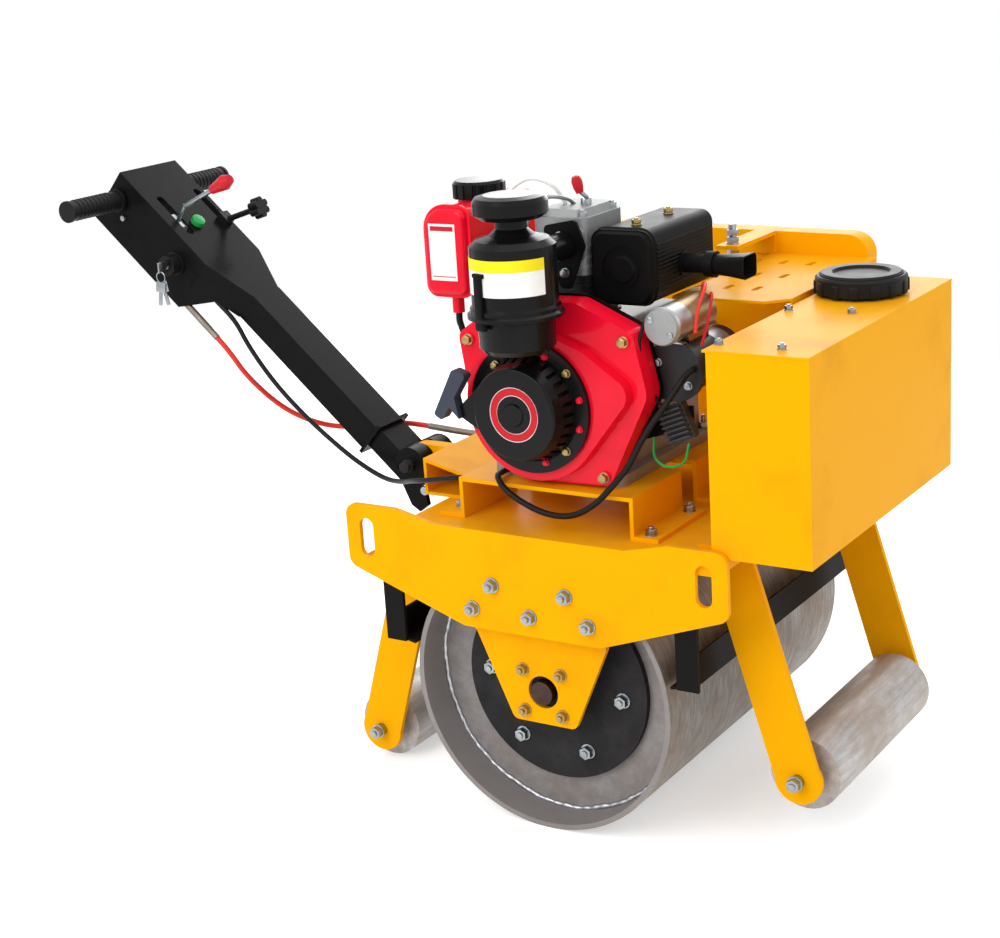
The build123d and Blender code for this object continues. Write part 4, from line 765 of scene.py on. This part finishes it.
class ROLLER_OT_frame_bolts(bpy.types.Operator):
    """Bolts of the side plates, hangers, bearings, guide rollers, engine feet and tank lid"""

    bl_idname = "roller.frame_bolts"
    bl_label = "Frame bolts"

    def execute(self, context):
        across = context.scene.roller_sizes.bolt_across
        corners = [(x, z) for x in BEARING_REACH for z in BEARING_REACH]
        ring = [(HUB_RING * math.cos(turn), HUB_RING * math.sin(turn)) for turn in HUB_TURNS]
        above = (0, 0, HOLE_CLEAR)
        for side, tag in SIDES:
            out = (0, side, 0)
            # the far plate's bolts end flush, the near one's stand out
            stud = 0.005 if side < 0 else 0.0
            places = [at(x, side * PLATE_OUT, z) for x, z in PLATE_BOLTS]
            name, plate = "plate_bolts_" + tag, "side_plate_" + tag
            bolt_row(name, "zinc", across, out, places, plate, 0.012, (HOLE_CLEAR, 0, 0), stud)
            places = [by(DRUM, side * HANGER_OUT, x, z) for x, z in corners]
            name, hanger = "bearing_bolts_" + tag, "hanger_" + tag
            bolt_row(name, "yellow zinc", across * BEARING_SHARE, out, places, hanger, beside=above)
            places = [by(DRUM, side * HUB_OUT, x, z) for x, z in ring]
            name = "hub_bolts_" + tag
            bolt_row(name, "zinc", across, out, places, "drum_hubs", beside=above, stud=0.003, body="drum")
            places = [by(axle, side * ROLLER_OUT) for axle in (FRONT_ROLLER, REAR_ROLLER)]
            bolt_row("roller_bolts_" + tag, "zinc", across, out, places, stud=0.003)
        small, left = across * FOOT_SHARE, (0, HOLE_CLEAR, 0)
        places = [at(x, y, 458) for x, y in FLANGE_BOLTS]
        bolt_row("flange_bolts", "zinc", small, UP, places, "engine_mounts", beside=left)
        places = [at(x, y, 748) for x, y in LID_BOLTS]
        bolt_row("lid_bolts", "zinc", across * LID_SHARE, UP, places, "tank_lid", 0.06, stud=0.002)
        places = []
        for x, y in FOOT_BOLTS:
            # felt for on the side away from the engine's middle
            aside = (math.copysign(0.008, x), 0, 0)
            places.append(land("engine_block", at(x, y, 530), UP, 0.03, aside))
        bolt_row("foot_nuts", "zinc", small, UP, places, stud=0.012)
        # the cover's tension bolt: a rod, nuts above and below its strap and one higher up
        shape = bmesh.new()
        foot, wide = Matrix.Translation(at(*TENSION_BOLT, 0)), across * TENSION_SHARE
        add_disc(shape, 0.0063, 0.034, foot, base=0.787, segments=24, edge=0.001)
        add_bolt(shape, at(*TENSION_BOLT, 790), UP, wide, stud=0)
        add_disc(shape, across * 0.52, 0.008, foot, base=0.804, segments=6, edge=0.001)
        add_bolt(shape, at(*TENSION_BOLT, 784), (0, 0, -1), wide, stud=0)
        finish_piece("tension_bolt", shape, "zinc")
        return {"FINISHED"}


class ROLLER_OT_engine_bolts(bpy.types.Operator):
    """Bolts and rivets of the fan housing, recoil starter and brackets, and nuts on the head"""

    bl_idname = "roller.engine_bolts"
    bl_label = "Engine bolts"

    def execute(self, context):
        # columns: name, finish, width, places, depth, CAD node, start of feeling, height beside, stud
        rows = [
            ("housing_bolts", "yellow zinc", 0.0125, HOUSING_BOLTS, -227, "blower_housing", 0.03, 0, 0),
            ("recoil_bolts", "yellow zinc", 0.0095, RECOIL_BOLTS, -250, "recoil_starter", 0.02, 0, 0),
            ("recoil_rivets", "red enamel", 0.0075, RECOIL_RIVETS, -250, "recoil_starter", 0.02, 0, 0),
            ("bracket_bolts", "zinc", 0.011, BRACKET_BOLTS, -150, "engine_brackets", 0.02, 0.009, 0.002),
        ]
        for name, finish, across, spots, depth, node, away, above, stud in rows:
            places = [at(x, depth, z) for x, z in spots]
            bolt_row(name, finish, across, NEAR, places, node, away, (0, 0, above), stud)
        places = [at(x, y, 885) for x, y in HEAD_NUTS]
        bolt_row("head_nuts", "zinc", 0.012, UP, places, "cylinder_head", 0.05, stud=0.003)
        return {"FINISHED"}


# ---- drum
# the weld's steps, its ring's radius and its depth from the middle in millimetres
WELD_STEPS, WELD_RING, WELD_OUT = 300, 202.6, 233.6


class ROLLER_OT_drum_welds(bpy.types.Operator):
    """The weld bead inside each end of the drum, run by hand and so uneven"""

    bl_idname = "roller.drum_welds"
    bl_label = "Drum welds"

    def execute(self, context):
        bead = context.scene.roller_sizes.bead
        turns = [2 * math.pi * i / WELD_STEPS for i in range(WELD_STEPS)]
        # the bead wanders by a millimetre or two and swells and thins with the welder's hand
        reach = [
            WELD_RING + 0.9 * math.sin(7 * t) + 0.6 * math.sin(17 * t + 1) + 0.4 * math.sin(41 * t)
            for t in turns
        ]
        radii = [bead * (0.86 + 0.16 * math.sin(75 * t) + 0.1 * math.sin(23 * t)) for t in turns]
        for side, tag in SIDES:
            path = [
                by(DRUM, side * WELD_OUT, r * math.cos(t), r * math.sin(t)) for r, t in zip(reach, turns)
            ]
            shape = bmesh.new()
            add_tube(shape, path, radii, sides=8, closed=True)
            finish_piece("drum_weld_" + tag, shape, "weld", "drum", smooth=60)
        return {"FINISHED"}


# ---- engine fittings
class ROLLER_OT_recoil_face(bpy.types.Operator):
    """The recoil starter's red ring between white lines, with nothing written on it"""

    bl_idname = "roller.recoil_face"
    bl_label = "Recoil face"

    def execute(self, context):
        # the face is felt for beside the hub
        spot = land("recoil_starter", by(RECOIL, -292, 34), NEAR, 0.02)
        middle = by(RECOIL, 0)
        middle.y = spot.y
        # columns: name, finish, inner and outer radius, height
        rings = [
            ("recoil_ring", "red plastic", 0.0281, 0.0388, 0.0005),
            ("recoil_line_inner", "label white", 0.0272, 0.0281, 0.0008),
            ("recoil_line_outer", "label white", 0.0388, 0.0398, 0.0008),
        ]
        for name, finish, low, high, height in rings:
            lathe_piece(name, finish, band(low, high, 0, height), facing(NEAR, middle), 72)
        return {"FINISHED"}


class ROLLER_OT_labels(bpy.types.Operator):
    """Bare labels on the air cleaner, fuel tank and starter motor"""

    bl_idname = "roller.labels"
    bl_label = "Labels"

    def execute(self, context):
        # columns: name, finish, levels on the air cleaner in metres
        bands = [
            ("cleaner_label", "label white", 0.813, 0.847),
            ("cleaner_label_band", "label yellow", 0.847, 0.863),
        ]
        # they run from the cleaner's rear round its near side, almost to its front
        cleaner = Matrix.Translation(at(3, -298, 0)) @ Matrix.Rotation(math.radians(182), 4, "Z")
        for name, finish, low, high in bands:
            lathe_piece(name, finish, band(0.0601, 0.0607, low, high), cleaner, 36, 163)
        shape = bmesh.new()
        label = Matrix.Translation(land("fuel_tank", at(-198, -172, 832), NEAR, 0.02))
        add_box(shape, (0.046, 0.0006, 0.084), label @ shift(0, -0.0003, 0), 0.00015)
        finish_piece("fuel_label", shape, "label white")
        shape = bmesh.new()
        bar = label @ shift(0, -0.0007, 0.035)
        add_box(shape, (0.04, 0.0003, 0.007), bar)
        add_box(shape, (0.04, 0.0003, 0.0012), bar @ shift(0, 0, -0.071))
        finish_piece("fuel_label_bar", shape, "red plastic")
        motor = Matrix.Translation(by(MOTOR, 0)) @ Matrix.Rotation(math.radians(90), 4, "X")
        motor = motor @ Matrix.Rotation(math.radians(35), 4, "Z")
        lathe_piece("motor_label", "zinc", band(0.0371, 0.0376, 0.062, 0.1), motor, 36, 70)
        return {"FINISHED"}


# columns: finish, radius in millimetres, places from the axle that the pipe or wire passes
PIPES = {
    "injector_pipe": ("zinc", 3, [
        (-30, -60, 884), (-32, -90, 903), (-50, -128, 908), (-62, -152, 880), (-66, -158, 820),
    ]),
    "leak_off_pipe": ("label white", 3, [
        (-40, -72, 886), (-52, -94, 922), (-82, -112, 934), (-116, -118, 912), (-142, -110, 880),
    ]),
    "fuel_hose": ("rubber", 5, [
        (-205, -130, 736), (-204, -130, 716), (-190, -128, 690), (-150, -110, 668), (-94, -90, 660),
    ]),
    "solenoid_wire": ("red sheath", 2.6, [
        (178, -88, 768), (190, -100, 792), (206, -130, 792), (214, -168, 770), (220, -190, 742),
    ]),
    "second_wire": ("red plastic", 2.2, [
        (186, -86, 760), (200, -98, 778), (214, -126, 776), (222, -156, 750), (222, -176, 722),
    ]),
    "earth_wire": ("green plastic", 1.8, [
        (150, -190, 588), (160, -208, 566), (182, -214, 556), (204, -206, 562), (206, -192, 586),
    ]),
    "regulator_wire": ("rubber", 2.6, [
        (170, -186, 628), (160, -200, 650), (150, -210, 690), (146, -214, 726), (150, -206, 756),
    ]),
}
KNOB = at(-10, -88, 914)


class ROLLER_OT_engine_fittings(bpy.types.Operator):
    """The cleaner's clip, decompression lever, starter's nose and screws, pipes, hose and wires"""

    bl_idname = "roller.engine_fittings"
    bl_label = "Engine fittings"

    def execute(self, context):
        # clip that holds the cleaner's cup
        shape = bmesh.new()
        clip = Matrix.Translation(at(-17, -358.5, 812)) @ Matrix.Rotation(math.radians(-17), 4, "Z")
        add_box(shape, (0.013, 0.007, 0.062), clip, 0.002)
        add_box(shape, (0.018, 0.01, 0.02), clip @ shift(0, 0.002, -0.036), 0.003)
        add_box(shape, (0.02, 0.006, 0.006), clip @ shift(0, 0.001, 0.03), 0.0015)
        finish_piece("cleaner_clip", shape, "muffler paint")

        # decompression lever with its red knob
        shape = bmesh.new()
        root = land("cylinder_head", at(-8, -75, 880), UP, 0.05)
        add_disc(shape, 0.008, 0.01, facing(UP, root), edge=0.001)
        stalk = [root + Vector((0, 0, 0.008)), root + Vector((0.004, -0.006, 0.012)), KNOB]
        add_tube(shape, smooth_line(stalk), 0.0035)
        finish_piece("decompression_lever", shape, "zinc")
        outline = [(0, 0), (0.0055, 0), (0.0075, 0.008), (0.008, 0.018), (0.0055, 0.0245), (0, 0.026)]
        stand = facing((-0.15, -0.2, 1), KNOB - Vector((0, 0, 0.002)))
        lathe_piece("decompression_knob", "red plastic", outline, stand, 24)

        places = [at(78, y, 868) for y in (-84, 14)]
        bolt_row("muffler_bolts", "yellow zinc", 0.012, UP, places, "muffler", 0.03, stud=0.002)
        # columns: name, places by the middle of the part
        screws = [
            ("solenoid_screws", [by(SOLENOID, -208, -15, 10), by(SOLENOID, -208, 15, -10)]),
            ("motor_screws", [by(MOTOR, -184, -24, 12), by(MOTOR, -184, 22, -18)]),
        ]
        for name, places in screws:
            bolt_row(name, "zinc", 0.009, NEAR, places, "starter_motor", 0.03, stud=0)
        outline = [(0, 0), (0.0265, 0), (0.0245, 0.003), (0.013, 0.005), (0, 0.0055)]
        lathe_piece("solenoid_nose", "cast aluminium", outline, facing(NEAR, by(SOLENOID, -208)), 40)

        for name, (finish, radius, stops) in PIPES.items():
            shape = bmesh.new()
            add_tube(shape, smooth_line([at(*stop) for stop in stops]), radius / 1000, sides=10)
            finish_piece(name, shape, finish, smooth=60)
        return {"FINISHED"}


class ROLLER_OT_engine_covers(bpy.types.Operator):
    """The bolted cover and the oil plugs on the rear of the engine's block"""

    bl_idname = "roller.engine_covers"
    bl_label = "Engine covers"

    def execute(self, context):
        # the rear wall where the cover's middle, the drain plug and the filler's neck stand
        wall, plug, neck = [
            land("engine_block", at(-95, y, z), REAR, 0.04) for y, z in ((-40, 622), (38, 560), (30, 690))
        ]
        shape = bmesh.new()
        add_box(shape, (0.012, 0.11, 0.12), Matrix.Translation(wall) @ shift(-0.004, 0, 0), 0.004)
        finish_piece("crankcase_cover", shape, "cast iron")
        places = [wall + Vector((-0.01, y, z)) for y in (-0.046, 0.046) for z in (-0.05, 0, 0.05)]
        bolt_row("crankcase_bolts", "yellow zinc", 0.011, REAR, places, stud=0)
        shape = bmesh.new()
        add_disc(shape, 0.013, 0.006, facing(REAR, plug), edge=0.001)
        add_disc(shape, 0.009, 0.01, facing(REAR, plug), base=0.006, segments=6, edge=0.001)
        add_disc(shape, 0.015, 0.03, facing((-1, 0, 0.9), neck), base=-0.004, edge=0.002)
        finish_piece("oil_plugs", shape, "cap plastic")
        return {"FINISHED"}


# ---- water tank and handle
CAP_RIBS = 14


class ROLLER_OT_cap_ribs(bpy.types.Operator):
    """Ribs round the water tank's cap, and its raised ring"""

    bl_idname = "roller.cap_ribs"
    bl_label = "Cap ribs"

    def execute(self, context):
        low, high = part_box("tank_cap")
        middle = (low + high) / 2
        radius = (high.x - low.x) / 2
        shape = bmesh.new()
        for i in range(CAP_RIBS):
            turn = Matrix.Rotation(2 * math.pi * i / CAP_RIBS, 4, "Z")
            spot = shift(middle.x, middle.y, middle.z - 0.002) @ turn @ shift(radius - 0.001, 0, 0)
            add_box(shape, (0.006, 0.014, 0.019), spot, 0.002)
        ring = [(0.038, -0.001), (0.06, -0.001), (0.06, 0.001), (0.057, 0.004), (0.042, 0.004)]
        add_lathe(shape, ring, shift(middle.x, middle.y, high.z), 64)
        finish_piece("cap_ribs", shape, "cap plastic")
        return {"FINISHED"}


GRIP_RINGS = 9
GRIP_START, GRIP_STEP = 0.102, 0.0095
KEY_LOOP_RADIUS, KEY_LOOP_STEPS = 0.009, 24


class ROLLER_OT_handle_fittings(bpy.types.Operator):
    """Grip rings, keys, the green button, a screw and the hinge's nuts on the steering handle"""

    bl_idname = "roller.handle_fittings"
    bl_label = "Handle fittings"

    def execute(self, context):
        # the grips' flutes run round them
        shape = bmesh.new()
        bar = facing(FAR, on_handle(686, -47, 0))
        ring = [(0.0155, -0.0016), (0.0176, -0.0008), (0.0176, 0.0008), (0.0155, 0.0016)]
        for side in (-1, 1):
            for i in range(GRIP_RINGS):
                add_lathe(shape, ring, bar @ shift(0, 0, side * (GRIP_START + GRIP_STEP * i)), 32)
        finish_piece("grip_rings", shape, "rubber", "handle")

        # the key in its switch on the near side
        spot = on_handle(534, -51, -93)
        shape = bmesh.new()
        add_disc(shape, 0.006, 0.004, facing(NEAR, spot), edge=0.0008)
        add_box(shape, (0.003, 0.02, 0.018), Matrix.Translation(spot) @ shift(0, -0.012, 0), 0.0008)
        finish_piece("ignition_key", shape, "zinc", "handle")
        # a ring with two spare keys hangs from the first
        shape = bmesh.new()
        hook = spot + Vector((0, -0.018, -0.009))
        loop = []
        for i in range(KEY_LOOP_STEPS):
            turn = 2 * math.pi * i / KEY_LOOP_STEPS
            reach = KEY_LOOP_RADIUS * Vector((math.cos(turn), 0, math.sin(turn)))
            loop.append(hook + reach + Vector((0, 0, -0.007)))
        add_tube(shape, loop, 0.0009, sides=8, closed=True)
        for sway in (-14, 9):
            hang = Matrix.Translation(hook) @ shift(0, -0.001 * sway / 9, -0.015)
            hang = hang @ Matrix.Rotation(math.radians(sway), 4, "Y")
            add_box(shape, (0.02, 0.002, 0.018), hang @ shift(0, 0, -0.009), 0.0007)
            add_box(shape, (0.007, 0.0018, 0.024), hang @ shift(0, 0, -0.028), 0.0005)
        finish_piece("spare_keys", shape, "zinc", "handle")
        shape = bmesh.new()
        face = land("console", on_handle(572, 0, -8), SQUARE, 0.03)
        add_disc(shape, 0.012, 0.009, facing(SQUARE, face), edge=0.002)
        finish_piece("start_button", shape, "green plastic", "handle")

        name, places = "console_screw", [on_handle(662, -67, -70)]
        bolt_row(name, "zinc", 0.009, NEAR, places, "console", stud=0, washer=False, body="handle")
        for side, tag in SIDES:
            bolt_row("pivot_nut_" + tag, "hub paint", 0.017, (0, side, 0), [by(HINGE, 52 * side)], stud=0)
        return {"FINISHED"}


# ---- panel and main
OPERATORS = [
    ROLLER_OT_finishes, ROLLER_OT_stage, ROLLER_OT_cables, ROLLER_OT_frame_bolts,
    ROLLER_OT_engine_bolts, ROLLER_OT_drum_welds, ROLLER_OT_recoil_face, ROLLER_OT_labels,
    ROLLER_OT_engine_fittings, ROLLER_OT_engine_covers, ROLLER_OT_cap_ribs, ROLLER_OT_handle_fittings,
]


class ROLLER_PT_panel(bpy.types.Panel):
    """Lists the roller's pieces and settings"""

    bl_label = "Road roller"
    bl_idname = "ROLLER_PT_panel"
    bl_space_type = "VIEW_3D"
    bl_region_type = "UI"
    bl_category = "Roller"

    def draw(self, context):
        for group in (context.scene.roller_colours, context.scene.roller_sizes):
            for name in group.__annotations__:
                self.layout.prop(group, name)
        for operator in OPERATORS:
            self.layout.operator(operator.bl_idname)


CLASSES = [RollerColours, RollerSizes, *OPERATORS, ROLLER_PT_panel]


def register():
    """Registers the classes and hangs the settings on the scene."""
    for item in CLASSES:
        bpy.utils.register_class(item)
    bpy.types.Scene.roller_colours = bpy.props.PointerProperty(type=RollerColours)
    bpy.types.Scene.roller_sizes = bpy.props.PointerProperty(type=RollerSizes)


def unregister():
    """Takes the settings and classes away again."""
    del bpy.types.Scene.roller_sizes
    del bpy.types.Scene.roller_colours
    for item in reversed(CLASSES):
        bpy.utils.unregister_class(item)


def main():
    """Dresses the roller."""
    register()
    for operator in OPERATORS:
        family, name = operator.bl_idname.split(".")
        getattr(getattr(bpy.ops, family), name)()


if __name__ == "__main__":
    main()
